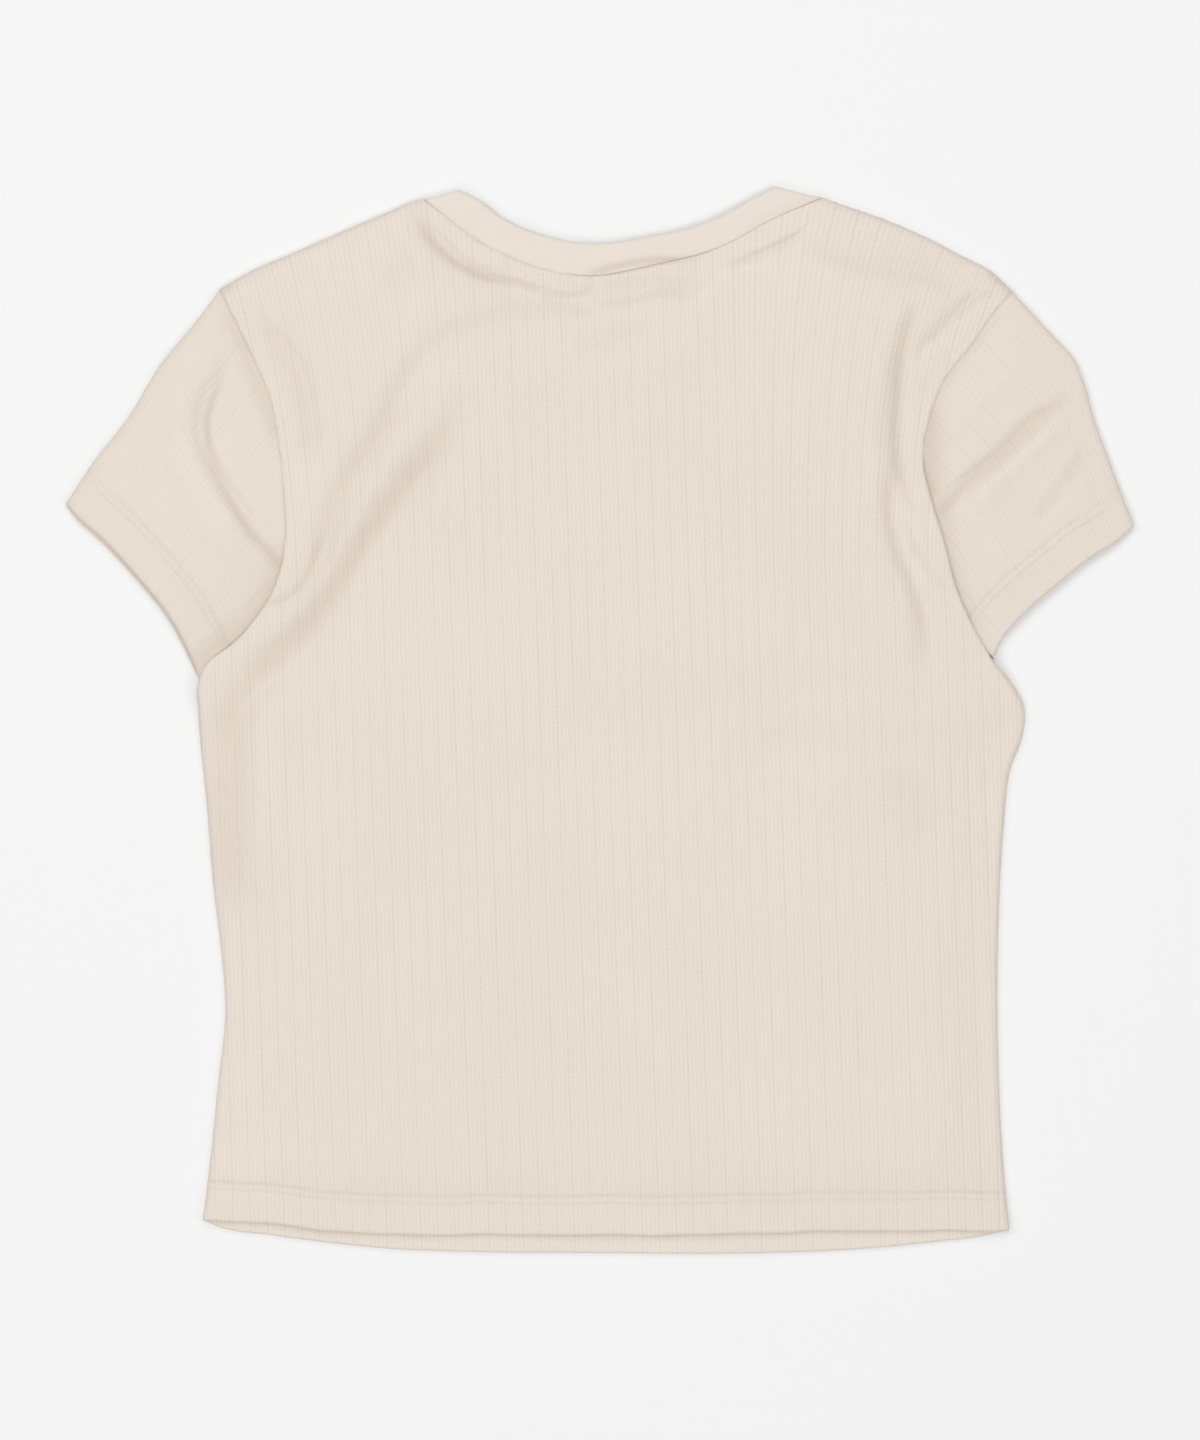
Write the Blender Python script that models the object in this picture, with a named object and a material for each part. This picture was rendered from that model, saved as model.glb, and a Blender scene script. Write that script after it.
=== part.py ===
"""A cropped short sleeve t-shirt in needle-drop rib knit, laid out flat with its back upwards.

X runs across the shirt, Y from the hem to the neck, and Z up from the surface that the front panel
lies on. The tables are in millimetres and the meshes in metres. The shirt is five cut pieces: a back
panel, a front panel under it, two sleeves pressed flat and one neckband. The back panel is a wall
over a plan outline, ribbed on top and plain inside, and it rises and falls with the folds listed below.
A sleeve and the neckband are tubes pressed flat, each a loft of rings round its two layers.
"""

from collections import namedtuple

import bpy
import numpy as np
from mathutils.geometry import delaunay_2d_cdt

NAME = "short_sleeve_t_shirt"
MM = 0.001
BODY_LENGTH = 526.0

# Cloth, in millimetres
WALL = 1.2
SEAM_GAP = 0.3
RIB_PITCH = 8.5
RIB_HEIGHT = 0.45
RIB_FADE = 6.0
EDGE_ROUND = 2.4
EDGE_DROP = 0.75
HEM_DEPTH = 20.0
HEM_LIFT = 0.5
HEM_STEP = 1.5
NECK_ALLOWANCE = 9.0
NECK_LIFT = 0.45

# How high the upper layer stands off the lower one
CROWN = 4.0
CROWN_RUN = 38.0
SLEEVE_CROWN = 2.4
SLEEVE_CROWN_RUN = 26.0
FOLD_FADE = 9.0
OVERLAP_LIFT = 4.0
OVERLAP_FLAT = 6.0
OVERLAP_RUN = 30.0

# Neckband
BAND_WALL = 1.5
BAND_CROWN = 0.5

# How finely the pieces are divided
SEAM_STEP = 3.6
EDGE_STEP = 9.0
ROW_FINE = 8.0
ROW_COARSE = 24.0
ROW_CHANGE = 250.0
HEM_CURVE_RUN = 120.0
FOLD_NIP = 0.9
FOLD_SEARCH = 0.12
SEARCH_STEPS = 60
CURVE_STEPS = 16
INSET = 2.4
CLEAR_OF_INSET = 2.2
SLEEVE_UNDER = 12
SEAM_CUTS = 4
SLEEVE_ROWS = 16
BAND_AROUND = 44
BAND_ROWS = 3
BAND_EDGE = 0.1
BAND_INNER_ROWS = 3
INNER_REACH = 2.5

CREAM = (0.80, 0.72, 0.64, 1.0)
BAND_CREAM = (0.83, 0.75, 0.67, 1.0)
CLOTH_ROUGHNESS = 0.9
RIB_SHARP = 6.0       # degrees past which an edge is shaded as a crease, so that the ribs show

# Plan curves. Each runs from its first point to its last, smoothly through the others.
BACK_HEM = ((-198.5, -250), (-165, -251.7), (-129, -255.2), (-60, -256.7), (30, -256.7), (117, -255.2),
            (204.5, -255))
FRONT_HEM = ((-198.5, -250), (-190, -253.5), (-165, -257.3), (-135, -261.2), (-105, -264.2), (-70, -265.6),
             (0, -266.3), (60, -266.7), (100, -265.8), (135, -264), (165, -261), (190, -258), (204.5, -255))
LEFT_SIDE = ((-198.5, -250), (-194.3, -215), (-190.7, -180), (-187.2, -145), (-189, -118), (-193.5, -80),
             (-196.7, -40), (-199.6, -12), (-201, 8), (-201, 16))
RIGHT_SIDE = ((204.5, -255), (201, -215), (198.8, -165), (199, -105), (201.8, -52), (205.2, -24), (211.2, -8),
              (212.3, 5), (205, 19.5), (197.5, 27))
LEFT_OVERLAP = ((-201, 16), (-197, 27), (-182, 39), (-171, 52), (-162.5, 66), (-158.5, 80))
RIGHT_OVERLAP = ((197.5, 27), (187, 45), (178, 65), (172, 88), (165, 111), (161.5, 126), (162, 141))
LEFT_ARMHOLE = ((-158.5, 80), (-157, 93), (-158, 114), (-160, 135), (-164, 158), (-177, 189), (-190, 215))
RIGHT_ARMHOLE = ((162, 141), (166, 156), (174, 173), (183, 184), (198, 205), (206, 214))
LEFT_SHOULDER = ((-190, 215), (-180, 221.3), (-150, 234.8), (-120, 248), (-105, 254.2), (-95, 258.6),
                 (-88, 260.3))
RIGHT_SHOULDER = ((111, 261), (150, 247.1), (168, 238.8), (181, 231.8), (195, 224.7), (206, 214))
BACK_NECK = ((-88, 260.3), (-77, 251.5), (-64, 241), (-50, 233.5), (-36, 227.5), (-22, 223.5), (-5, 222),
             (27, 227.5), (58, 235.5), (89, 251.5), (111, 261))
FRONT_NECK = ((-88, 260.3), (-83, 232), (-69, 198), (-36, 171), (8, 162), (52, 172), (86, 200), (104, 234),
              (111, 261))
BACK_BAND_EDGE = ((-71, 265), (-60, 259.6), (-50, 251.6), (-35, 244.5), (-15, 239.2), (3, 238.3), (22, 241.2),
                  (45, 246), (60, 251.8), (75, 260), (88, 266.5))
FRONT_BAND_EDGE = ((-71, 265), (-67.5, 238), (-54, 207), (-28, 185), (8, 177.5), (44, 186), (70, 209),
                   (84, 240), (88, 266.5))
LEFT_BAND_FOLD = ((-88, 260.3), (-80, 262), (-71, 265))
RIGHT_BAND_FOLD = ((111, 261), (104, 262.2), (97, 264.2), (88, 266.5))

# The sleeves' armholes run on under the body's overlapping fold to the underarm point
LEFT_HIDDEN_SEAM = ((-158.5, 80), (-161, 67), (-163, 56), (-168, 46), (-176, 36))
RIGHT_HIDDEN_SEAM = ((162, 141), (161, 127), (160, 110), (163, 88), (169, 64), (177, 46))
LEFT_UNDERARM = ((-176, 36), (-188, 28), (-200, 19.5))
RIGHT_UNDERARM = ((177, 46), (186, 37), (196.5, 30.5))
LEFT_SLEEVE_TOP = ((-190, 215), (-200.3, 201), (-220.4, 176.5), (-236.3, 150.3), (-252.2, 130), (-267, 108))
RIGHT_SLEEVE_TOP = ((206, 214), (225.3, 193), (237, 180), (242, 168), (247, 150), (254.3, 130), (261, 112),
                    (267, 97))
LEFT_CUFF = ((-267, 108), (-260.8, 101.2), (-249.3, 91.2), (-230.9, 71.4), (-214.6, 51), (-204, 30.6),
             (-200, 19.5))
LEFT_CUFF_UNDER = ((-267, 108), (-261.8, 100.2), (-250.5, 90), (-232, 70.3), (-215.7, 50), (-205, 30),
                   (-200, 19.5))
RIGHT_CUFF = ((267, 97), (259.3, 90), (243.6, 80), (231.3, 70), (219.3, 60), (208.3, 49.5), (200.3, 39.5),
              (196.5, 30.5))
RIGHT_CUFF_UNDER = ((267, 97), (258.6, 90.8), (242.8, 80.8), (230.6, 70.7), (218.5, 60.6), (207.5, 50.4),
                    (199.8, 40.2), (196.5, 30.5))

# Folds, raised (height above 0) or sunk (below 0), with their reach to the left and right of the path
Fold = namedtuple("Fold", "height left right path")
BACK_FOLDS = {
    "neck_to_breast": Fold(-1.3, 8, 9, ((-19, 209), (-54, 201), (-77, 191), (-93, 175), (-108, 152))),
    "breast_to_underarm": Fold(-3.2, 7, 8, ((-84, 184), (-101, 162), (-114, 141), (-131, 114), (-143, 87),
                                            (-150, 72), (-158, 58))),
    "breast_to_side": Fold(-3.8, 8, 9, ((-62, 172), (-88, 130), (-100, 109), (-119, 85), (-135, 60),
                                        (-153, 37), (-173, 21), (-187, 6), (-192, -24))),
    "left_pleat_ridge": Fold(1.4, 6, 6, ((-92, 152), (-112, 122), (-130, 92), (-147, 62), (-170, 38))),
    "left_armhole_hollow": Fold(-1.8, 5, 9, ((-165, 202), (-150, 178), (-145, 160), (-142, 140),
                                             (-141, 124))),
    "right_armhole_pleat": Fold(-3.4, 5, 6, ((158, 214), (150, 188), (147, 165), (146.5, 142), (149, 123),
                                             (155, 102))),
    "right_pleat_ridge": Fold(1.4, 6, 6, ((141, 190), (137, 140), (140, 96))),
    "right_underarm_pleat": Fold(-3.0, 6, 7, ((144, 128), (142, 112), (150, 81), (158, 63), (164, 30))),
    "right_shoulder_hollow": Fold(-1.4, 7, 8, ((96, 241), (131, 228), (150, 225), (188, 217))),
    "right_waist_shade": Fold(-1.1, 9, 9, ((74, -8), (110, -9), (150, -8), (192, -5))),
    "left_waist_ridge": Fold(1.6, 12, 12, ((-166, 26), (-166, 0), (-168, -30), (-178, -100))),
    "neck_wrinkle": Fold(0.8, 6, 6, ((38, 203), (52, 217), (75, 228), (92, 233))),
}
LEFT_SLEEVE_FOLDS = {
    "head_crease": Fold(-2.2, 5, 6, ((-184, 184), (-196, 160), (-198.5, 143), (-192, 126), (-180, 107),
                                     (-164, 82))),
    "head_ridge": Fold(1.0, 8, 8, ((-200, 190), (-212, 160), (-210, 130), (-192, 100))),
}
RIGHT_SLEEVE_FOLDS = {
    "elbow_crease": Fold(-2.4, 5, 6, ((168, 100), (173, 107), (182, 118), (199, 132), (213, 146),
                                      (230, 161))),
    "elbow_ridge": Fold(1.4, 6, 6, ((184, 106), (200, 122), (217, 138), (232, 150))),
    "cuff_crease": Fold(-1.2, 5, 5, ((216, 98), (230, 116), (243, 133), (250, 140))),
}

# The body's rib lines: how far they lean for each unit up, and how the shoulders pull them
BODY_LEAN = 0.033
SHOULDER_PULL = {"left": 14.0, "right": 22.0}
PULL_START_X = 60.0
PULL_START_Y = 60.0
PULL_WIDTH = 110.0
PULL_HEIGHT = 150.0

# The sleeves' grain, in degrees from straight down towards +X
GRAIN_SHARE = 0.7
LEFT_SLEEVE_TILT = -35.0
RIGHT_SLEEVE_TILT = 32.0


def smooth(t):
    """0 below 0, 1 above 1, and an S curve between."""
    t = np.clip(t, 0.0, 1.0)
    return t * t * (3.0 - 2.0 * t)


def curve(points, step):
    """A cubic through the points with slopes from their neighbours, divided evenly at about the step."""
    p = np.array(points, float)
    if len(p) == 2:
        fine = p
    else:
        knot = np.concatenate([[0.0], np.cumsum(np.linalg.norm(np.diff(p, axis=0), axis=1))])
        slope = np.gradient(p, knot, axis=0)
        t = np.linspace(0.0, 1.0, CURVE_STEPS + 1)[None, :-1, None]
        length = np.diff(knot)[:, None, None]
        a, b = p[:-1, None], p[1:, None]
        da, db = slope[:-1, None] * length, slope[1:, None] * length
        span = (a * (1 + 2 * t) * (1 - t) ** 2 + da * t * (1 - t) ** 2
                + b * t * t * (3 - 2 * t) + db * t * t * (t - 1))
        fine = np.vstack([span.reshape(-1, 2), p[-1:]])
    count = max(1, round(path_length(fine) / step))
    return along(fine, np.linspace(0.0, 1.0, count + 1))


def path_length(line):
    return np.linalg.norm(np.diff(line, axis=0), axis=1).sum()


def along(line, share):
    """Points at the given shares of a polyline's length."""
    run = np.concatenate([[0.0], np.cumsum(np.linalg.norm(np.diff(line, axis=0), axis=1))])
    at = np.asarray(share) * run[-1]
    return np.stack([np.interp(at, run, line[:, 0]), np.interp(at, run, line[:, 1])], axis=-1)


def beside(line, distance):
    """The polyline moved to its left by the distance."""
    run = np.gradient(line, axis=0)
    run /= np.linalg.norm(run, axis=1)[:, None]
    return line + distance * np.stack([-run[:, 1], run[:, 0]], axis=1)


def joined(*lines):
    """Polylines laid end to end as one, each shared end once."""
    return np.vstack([lines[0]] + [line[1:] for line in lines[1:]])


def nearest(xy, line):
    """For each point: distance to a polyline, the side (above 0 is left) and the share of its length."""
    a, b = line[:-1], line[1:]
    run = b - a
    span = (run ** 2).sum(axis=1)
    rel = xy[:, None, :] - a[None]
    t = np.clip((rel * run).sum(axis=2) / span, 0.0, 1.0)
    gap = np.linalg.norm(rel - t[..., None] * run, axis=2)
    best = gap.argmin(axis=1)
    row = np.arange(len(xy))
    start = np.concatenate([[0.0], np.cumsum(np.sqrt(span))])
    share = (start[best] + t[row, best] * np.sqrt(span[best])) / start[-1]
    side = run[best, 0] * rel[row, best, 1] - run[best, 1] * rel[row, best, 0]
    return gap[row, best], side, share


def edge_distance(xy, *lines):
    """Distance to the nearest of several polylines."""
    return np.min([nearest(xy, line)[0] for line in lines], axis=0)


def inside(xy, loop):
    """True for the points within a closed polygon, by counting the edges to their right."""
    a, b = loop, np.roll(loop, -1, axis=0)
    x, y = xy[:, :1], xy[:, 1:]
    spans = (a[:, 1] > y) != (b[:, 1] > y)
    rise = np.where(b[:, 1] == a[:, 1], 1.0, b[:, 1] - a[:, 1])
    cross = a[:, 0] + (y - a[:, 1]) * (b[:, 0] - a[:, 0]) / rise
    return (spans & (x < cross)).sum(axis=1) % 2 == 1


def fold_height(xy, folds):
    """The folds' heights added up. Each is a rounded trough or ridge that dies away at both ends."""
    total = np.zeros(len(xy))
    for fold in folds.values():
        away, side, share = nearest(xy, curve(fold.path, 5.0))
        reach = np.where(side > 0, fold.left, fold.right)
        total += fold.height * smooth(np.minimum(share, 1 - share) / 0.22) * np.exp(-(away / reach) ** 2)
    return total


def body_rib(xy):
    """Rib coordinate of the body: a line's number times the pitch. Lines fan out at the shoulders."""
    x, y = xy[:, 0], xy[:, 1]
    up = np.clip((y - PULL_START_Y) / PULL_HEIGHT, 0.0, None) ** 2
    left = SHOULDER_PULL["left"] * np.clip((-x - PULL_START_X) / PULL_WIDTH, 0.0, None) * up
    right = SHOULDER_PULL["right"] * np.clip((x - PULL_START_X) / PULL_WIDTH, 0.0, None) * up
    return x + BODY_LEAN * y + left - right


def rib_height(rib, edge):
    """A crest at each whole pitch and a groove between, dying away at the piece's edges."""
    wave = np.abs(((rib / RIB_PITCH) % 1.0) - 0.5) * 2.0
    return RIB_HEIGHT * (wave - 0.5) * smooth(edge / RIB_FADE)


def edge_round(edge):
    """How far the wall's outer face drops at its rim, along a quarter of an ellipse."""
    t = np.clip(1.0 - edge / EDGE_ROUND, 0.0, 1.0)
    return EDGE_DROP * (1.0 - np.sqrt(1.0 - t * t))


def hem_share(xy, hem):
    """1 on the turned-up hem and 0 above it."""
    up = xy[:, 1] - np.interp(xy[:, 0], hem[:, 0], hem[:, 1])
    return smooth((HEM_DEPTH + HEM_STEP - up) / (2 * HEM_STEP))


def material(name, colour):
    made = bpy.data.materials.new(name)
    made.use_nodes = True
    shader = made.node_tree.nodes["Principled BSDF"]
    shader.inputs["Base Color"].default_value = colour
    shader.inputs["Roughness"].default_value = CLOTH_ROUGHNESS
    shader.inputs["Metallic"].default_value = 0.0
    made.diffuse_color = colour
    return made


def facing_out(points, faces):
    """The faces as they are, or all turned round if the volume that they enclose is negative."""
    volume = 0.0
    for face in faces:
        corners = points[list(face)]
        volume += np.einsum("i,ji->", corners[0], np.cross(corners[1:-1], corners[2:]))
    return faces if volume > 0 else [face[::-1] for face in faces]


def cloth_object(name, points, faces, colour, collection):
    faces = facing_out(points, faces)
    mesh = bpy.data.meshes.new(name)
    mesh.from_pydata((points * MM).tolist(), [], [list(map(int, face)) for face in faces])
    mesh.materials.append(material(name + "_knit", colour))
    mesh.shade_smooth()
    mesh.set_sharp_from_angle(angle=np.radians(RIB_SHARP))
    piece = bpy.data.objects.new(name, mesh)
    collection.objects.link(piece)
    return piece


def triangles(loop, loose, chains):
    """Triangles that fill a closed plan loop, with loose points inside and chains of them kept as edges."""
    count = len(loop)
    points = np.vstack([loop, loose]) if len(loose) else loop
    edges = [(count + a, count + b) for a, b in chains]
    found = delaunay_2d_cdt(points.tolist(), edges, [list(range(count))], 1, 1e-4)
    number = [source[0] for source in found[3]]
    return points, [[number[i] for i in face] for face in found[2]]


def wall(outer, outer_faces, inner, inner_faces, rim):
    """One closed wall from an outer face, an inner face and the rim between their first points."""
    shift = len(outer)
    ring = np.arange(rim)
    after = np.roll(ring, -1)
    sides = np.stack([ring + shift, after + shift, after, ring], axis=1)
    faces = list(outer_faces) + [[i + shift for i in face[::-1]] for face in inner_faces] + list(sides)
    return np.vstack([outer, inner]), faces


def rib_lines(loop, rib, spacing, rows, hem):
    """Points on every rib line inside the loop, one a row, and the links along each line.

    The rows are heights above the hem's lowest point. The low ones follow the hem's curve."""
    low, high = loop.min(axis=0), loop.max(axis=0)
    numbers = np.arange(np.floor((low[0] - 40) / spacing), np.ceil((high[0] + 40) / spacing))
    line, row = np.meshgrid(numbers * spacing, rows, indexing="ij")
    hem_rise = np.interp(line, hem[:, 0], hem[:, 1]) - low[1]
    y = low[1] + row + hem_rise * (1.0 - smooth(row / HEM_CURVE_RUN))
    x = line.copy()
    for _ in range(12):
        x += line - rib(np.stack([x.ravel(), y.ravel()], axis=1)).reshape(x.shape)
    grid = np.stack([x.ravel(), y.ravel()], axis=1)
    closed = np.vstack([loop, loop[:1]])
    keep = inside(grid, loop) & (nearest(grid, closed)[0] > CLEAR_OF_INSET)
    index = np.where(keep, np.cumsum(keep) - 1, -1).reshape(x.shape)
    lower, upper = index[:, :-1].ravel(), index[:, 1:].ravel()
    both = (lower >= 0) & (upper >= 0)
    return grid[keep], list(zip(lower[both].tolist(), upper[both].tolist()))


def inset_loop(loop, distance):
    """A closed loop (counter-clockwise) moved inwards, mitred at its corners."""
    ahead = np.roll(loop, -1, axis=0) - loop
    ahead /= np.linalg.norm(ahead, axis=1)[:, None]
    normal = np.stack([-ahead[:, 1], ahead[:, 0]], axis=1)
    before = np.roll(normal, 1, axis=0)
    both = normal + before
    return loop + distance * 2.0 * both / np.maximum((both ** 2).sum(axis=1), 1.0)[:, None]


def overlap_lift(xy):
    """How far the body is raised where it folds over the sleeves: flat at the edge, sloping off inside."""
    lift = np.zeros(len(xy))
    for path in (LEFT_OVERLAP, RIGHT_OVERLAP):
        away, _, share = nearest(xy, curve(path, SEAM_STEP))
        across = 1.0 - smooth((away - OVERLAP_FLAT) / (OVERLAP_RUN - OVERLAP_FLAT))
        lift = np.maximum(lift, OVERLAP_LIFT * across * smooth((1.0 - share) / 0.16))
    return lift


def lowest_nearby(height, xy):
    """The least of a height at each point and around it, so that long faces stay under a trough's floor."""
    around = INNER_REACH * np.array([(0, 0), (1, 0), (-1, 0), (0, 1), (0, -1)])
    return np.min([height(xy + step) for step in around], axis=0)


def body_edges():
    """The plan curves of the body, with the sewn ones drawn back by half the seam's gap."""
    half = SEAM_GAP / 2
    return {
        "back_hem": curve(BACK_HEM, EDGE_STEP),
        "front_hem": curve(FRONT_HEM, EDGE_STEP),
        "right_side": curve(RIGHT_SIDE, EDGE_STEP),
        "left_side": curve(LEFT_SIDE, EDGE_STEP),
        "right_overlap": curve(RIGHT_OVERLAP, SEAM_STEP),
        "left_overlap": curve(LEFT_OVERLAP, SEAM_STEP),
        "right_armhole": beside(curve(RIGHT_ARMHOLE, SEAM_STEP), half),
        "left_armhole": beside(curve(LEFT_ARMHOLE, SEAM_STEP), -half),
        "right_hidden": beside(curve(RIGHT_HIDDEN_SEAM, SEAM_STEP), -half),
        "left_hidden": beside(curve(LEFT_HIDDEN_SEAM, SEAM_STEP), half),
        "right_underarm": beside(curve(RIGHT_UNDERARM, SEAM_STEP), -half),
        "left_underarm": beside(curve(LEFT_UNDERARM, SEAM_STEP), half),
        "right_shoulder": curve(RIGHT_SHOULDER, EDGE_STEP),
        "left_shoulder": curve(LEFT_SHOULDER, EDGE_STEP),
        "back_neck": beside(curve(BACK_NECK, SEAM_STEP), -half),
        "front_neck": beside(curve(FRONT_NECK, SEAM_STEP), -half),
    }


def closed_loop(*lines):
    """Polylines end to end as a closed loop, without points nearer to the last than a wall's thickness."""
    line = np.vstack(lines)
    kept = [line[0]]
    for point in line[1:]:
        if np.linalg.norm(point - kept[-1]) > WALL:
            kept.append(point)
    if np.linalg.norm(kept[0] - kept[-1]) < WALL:
        kept.pop()
    return np.array(kept)


def front_top(xy, hem):
    return WALL + HEM_LIFT * hem_share(xy, hem)


def back_panel(edges, collection):
    """The upper layer: its inside stands on the front panel, higher in the middle and along the folds."""
    loop = closed_loop(edges["back_hem"], edges["right_side"], edges["right_overlap"], edges["right_armhole"],
                       edges["right_shoulder"][::-1], edges["back_neck"][::-1], edges["left_shoulder"][::-1],
                       edges["left_armhole"][::-1], edges["left_overlap"][::-1], edges["left_side"][::-1])
    closed = np.vstack([loop, loop[:1]])
    inner_ring = inset_loop(loop, INSET)
    hem = edges["back_hem"]
    rows = np.concatenate([[HEM_DEPTH / 2, HEM_DEPTH - HEM_STEP, HEM_DEPTH + HEM_STEP],
                           np.arange(HEM_DEPTH + ROW_COARSE, ROW_CHANGE, ROW_COARSE),
                           np.arange(ROW_CHANGE, BODY_LENGTH, ROW_FINE)])

    def raised(xy):
        edge = nearest(xy, closed)[0]
        folded = CROWN * smooth(edge / CROWN_RUN) + fold_height(xy, BACK_FOLDS) * smooth(edge / FOLD_FADE)
        return np.maximum(folded, 0.0)

    def rest(xy):
        return front_top(xy, edges["front_hem"]) + SEAM_GAP + overlap_lift(xy)

    def outside_height(xy):
        edge = nearest(xy, closed)[0]
        neck = smooth((NECK_ALLOWANCE + 1.0 - nearest(xy, edges["back_neck"])[0]) / 2.0)
        thick = WALL + HEM_LIFT * hem_share(xy, hem) + NECK_LIFT * neck
        return rest(xy) + raised(xy) + thick + rib_height(body_rib(xy), edge) - edge_round(edge)

    spots, chains = rib_lines(inner_ring, body_rib, RIB_PITCH / 2, rows, hem)
    count = len(loop)
    ring_links = [(i, (i + 1) % count) for i in range(count)]
    loose = np.vstack([inner_ring, spots])
    plan, faces = triangles(loop, loose, ring_links + [(a + count, b + count) for a, b in chains])
    outer = np.column_stack([plan, outside_height(plan)])
    spots, chains = rib_lines(inner_ring, body_rib, RIB_PITCH, rows, hem)
    plan, inner_faces = triangles(loop, spots, chains)
    inner = np.column_stack([plan, rest(plan) + lowest_nearby(raised, plan)])
    points, all_faces = wall(outer, faces, inner, inner_faces, count)
    return cloth_object("back_panel", points, all_faces, CREAM, collection)


def front_panel(edges, collection):
    """The lower layer: flat below, where the shirt rests, and raised inside along its turned-up hem."""
    loop = closed_loop(edges["front_hem"], edges["right_side"], edges["right_underarm"][::-1],
                       edges["right_hidden"][::-1], edges["right_armhole"], edges["right_shoulder"][::-1],
                       edges["front_neck"][::-1], edges["left_shoulder"][::-1], edges["left_armhole"][::-1],
                       edges["left_hidden"], edges["left_underarm"], edges["left_side"][::-1])
    hem = edges["front_hem"]
    steps = [HEM_DEPTH - HEM_STEP, HEM_DEPTH + HEM_STEP]
    across = np.arange(-180.0, 190.0, 2 * EDGE_STEP)
    hem_y = np.interp(across, hem[:, 0], hem[:, 1])
    fold_rows = np.vstack([np.column_stack([across, hem_y + up]) for up in steps])
    plan, faces = triangles(loop, fold_rows, [])
    inner = np.column_stack([plan, front_top(plan, hem)])
    flat, flat_faces = triangles(loop, np.zeros((0, 2)), [])
    under = np.column_stack([flat, np.zeros(len(flat))])
    points, all_faces = wall(inner, faces, under, flat_faces, len(loop))
    return cloth_object("front_panel", points, all_faces, CREAM, collection)


def patch(start, end, first_side, last_side, grain=None):
    """A four-sided plan patch between curves, blended along its two sides.

    With a grain direction, the shares across the start are even steps across that direction, mixed with
    a little of the curve's own length, so that the lines from start to end run with the grain and
    never turn back. Otherwise they are even steps along the curve."""
    corners = start[0], start[-1], end[0], end[-1]

    def on_start(share):
        if grain is None:
            return along(start, share)
        across = start @ np.array([grain[1], -grain[0]])
        length = np.concatenate([[0.0], np.cumsum(np.linalg.norm(np.diff(start, axis=0), axis=1))])
        reach = (GRAIN_SHARE * (across - across[0]) / (across[-1] - across[0])
                 + (1.0 - GRAIN_SHARE) * length / length[-1])
        return np.stack([np.interp(share, reach, start[:, 0]), np.interp(share, reach, start[:, 1])], axis=-1)

    def at(across, down):
        across, down = across[:, None], down[:, None]
        ends = (1 - down) * on_start(across[:, 0]) + down * along(end, across[:, 0])
        sides = (1 - across) * along(first_side, down[:, 0]) + across * along(last_side, down[:, 0])
        flat = ((1 - across) * (1 - down) * corners[0] + across * (1 - down) * corners[1]
                + (1 - across) * down * corners[2] + across * down * corners[3])
        return ends + sides - flat

    return at


def rows_down(count, edge):
    """Shares from 0 to 1 with one more row close inside each end, where the wall's rim is rounded."""
    return np.concatenate([[0.0], np.linspace(edge, 1.0 - edge, count), [1.0]])


def share_off_fold(layer, fold, end, down, distance):
    """The share of a row's width, from its end 0 or 1, at which it lies a distance inside a fold line."""
    share = np.linspace(0.0, FOLD_SEARCH, SEARCH_STEPS + 1)
    at = layer(np.abs(end - share), np.full(len(share), down))
    return np.interp(distance, np.maximum.accumulate(nearest(at, fold)[0]), share)


def row_shares(layer, folds, down, divisions, last_cuts, inset):
    """Even shares of a row that starts and ends an inset inside its two folds, with one more near each.

    The last division is cut again where a seam runs nearly along the grain there."""
    off = [share_off_fold(layer, fold, end, down, inset) for end, fold in enumerate(folds)]
    near = [share_off_fold(layer, fold, end, down, inset + FOLD_NIP) for end, fold in enumerate(folds)]
    even = np.linspace(off[0], 1.0 - off[1], divisions + 1)
    last = np.linspace(even[-2], even[-1], last_cuts + 1)
    return np.concatenate([even[:1], near[:1], even[1:-2], last[:-1], [1.0 - near[1]], last[-1:]])


def pressed_tube(upper, lower, folds, heights, above, below, rows, inner_rows, thick):
    """A tube pressed flat: rings of points over the upper patch and back under the lower one.

    heights(xy, across, down) gives the upper layer's inside and outside. The lower layer lies flat. The
    inner rings start one thickness inside both folds, so that the wall turns round them unbroken.
    above and below are each layer's divisions across, and the cuts in its last one."""

    def ring(down, outside):
        inset = 0.0 if outside else thick
        top_share = row_shares(upper, folds, down, *above, inset)
        under_share = row_shares(lower, folds, down, *below, inset)[-2:0:-1]
        top = upper(top_share, np.full(len(top_share), down))
        under = lower(under_share, np.full(len(under_share), down))
        inside_z, outside_z = heights(top, top_share, down)
        top_z = outside_z.copy() if outside else inside_z.copy()
        bottom = 0.0 if outside else thick
        for end in (0, -1):
            top_z[end] = 0.5 * (top_z[end] + bottom)
        under_z = np.full(len(under), bottom)
        return np.vstack([np.column_stack([top, top_z]), np.column_stack([under, under_z])])

    outer = [ring(down, True) for down in rows]
    inner = [ring(down, False) for down in inner_rows]
    rings = np.array(outer + inner)
    total, size = rings.shape[:2]
    row, spot = np.meshgrid(np.arange(total), np.arange(size), indexing="ij")
    after_row, after_spot = (row + 1) % total, (spot + 1) % size
    quads = np.stack([row * size + spot, after_row * size + spot, after_row * size + after_spot,
                      row * size + after_spot], axis=-1).reshape(-1, 4)
    return rings.reshape(-1, 3), quads


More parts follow.
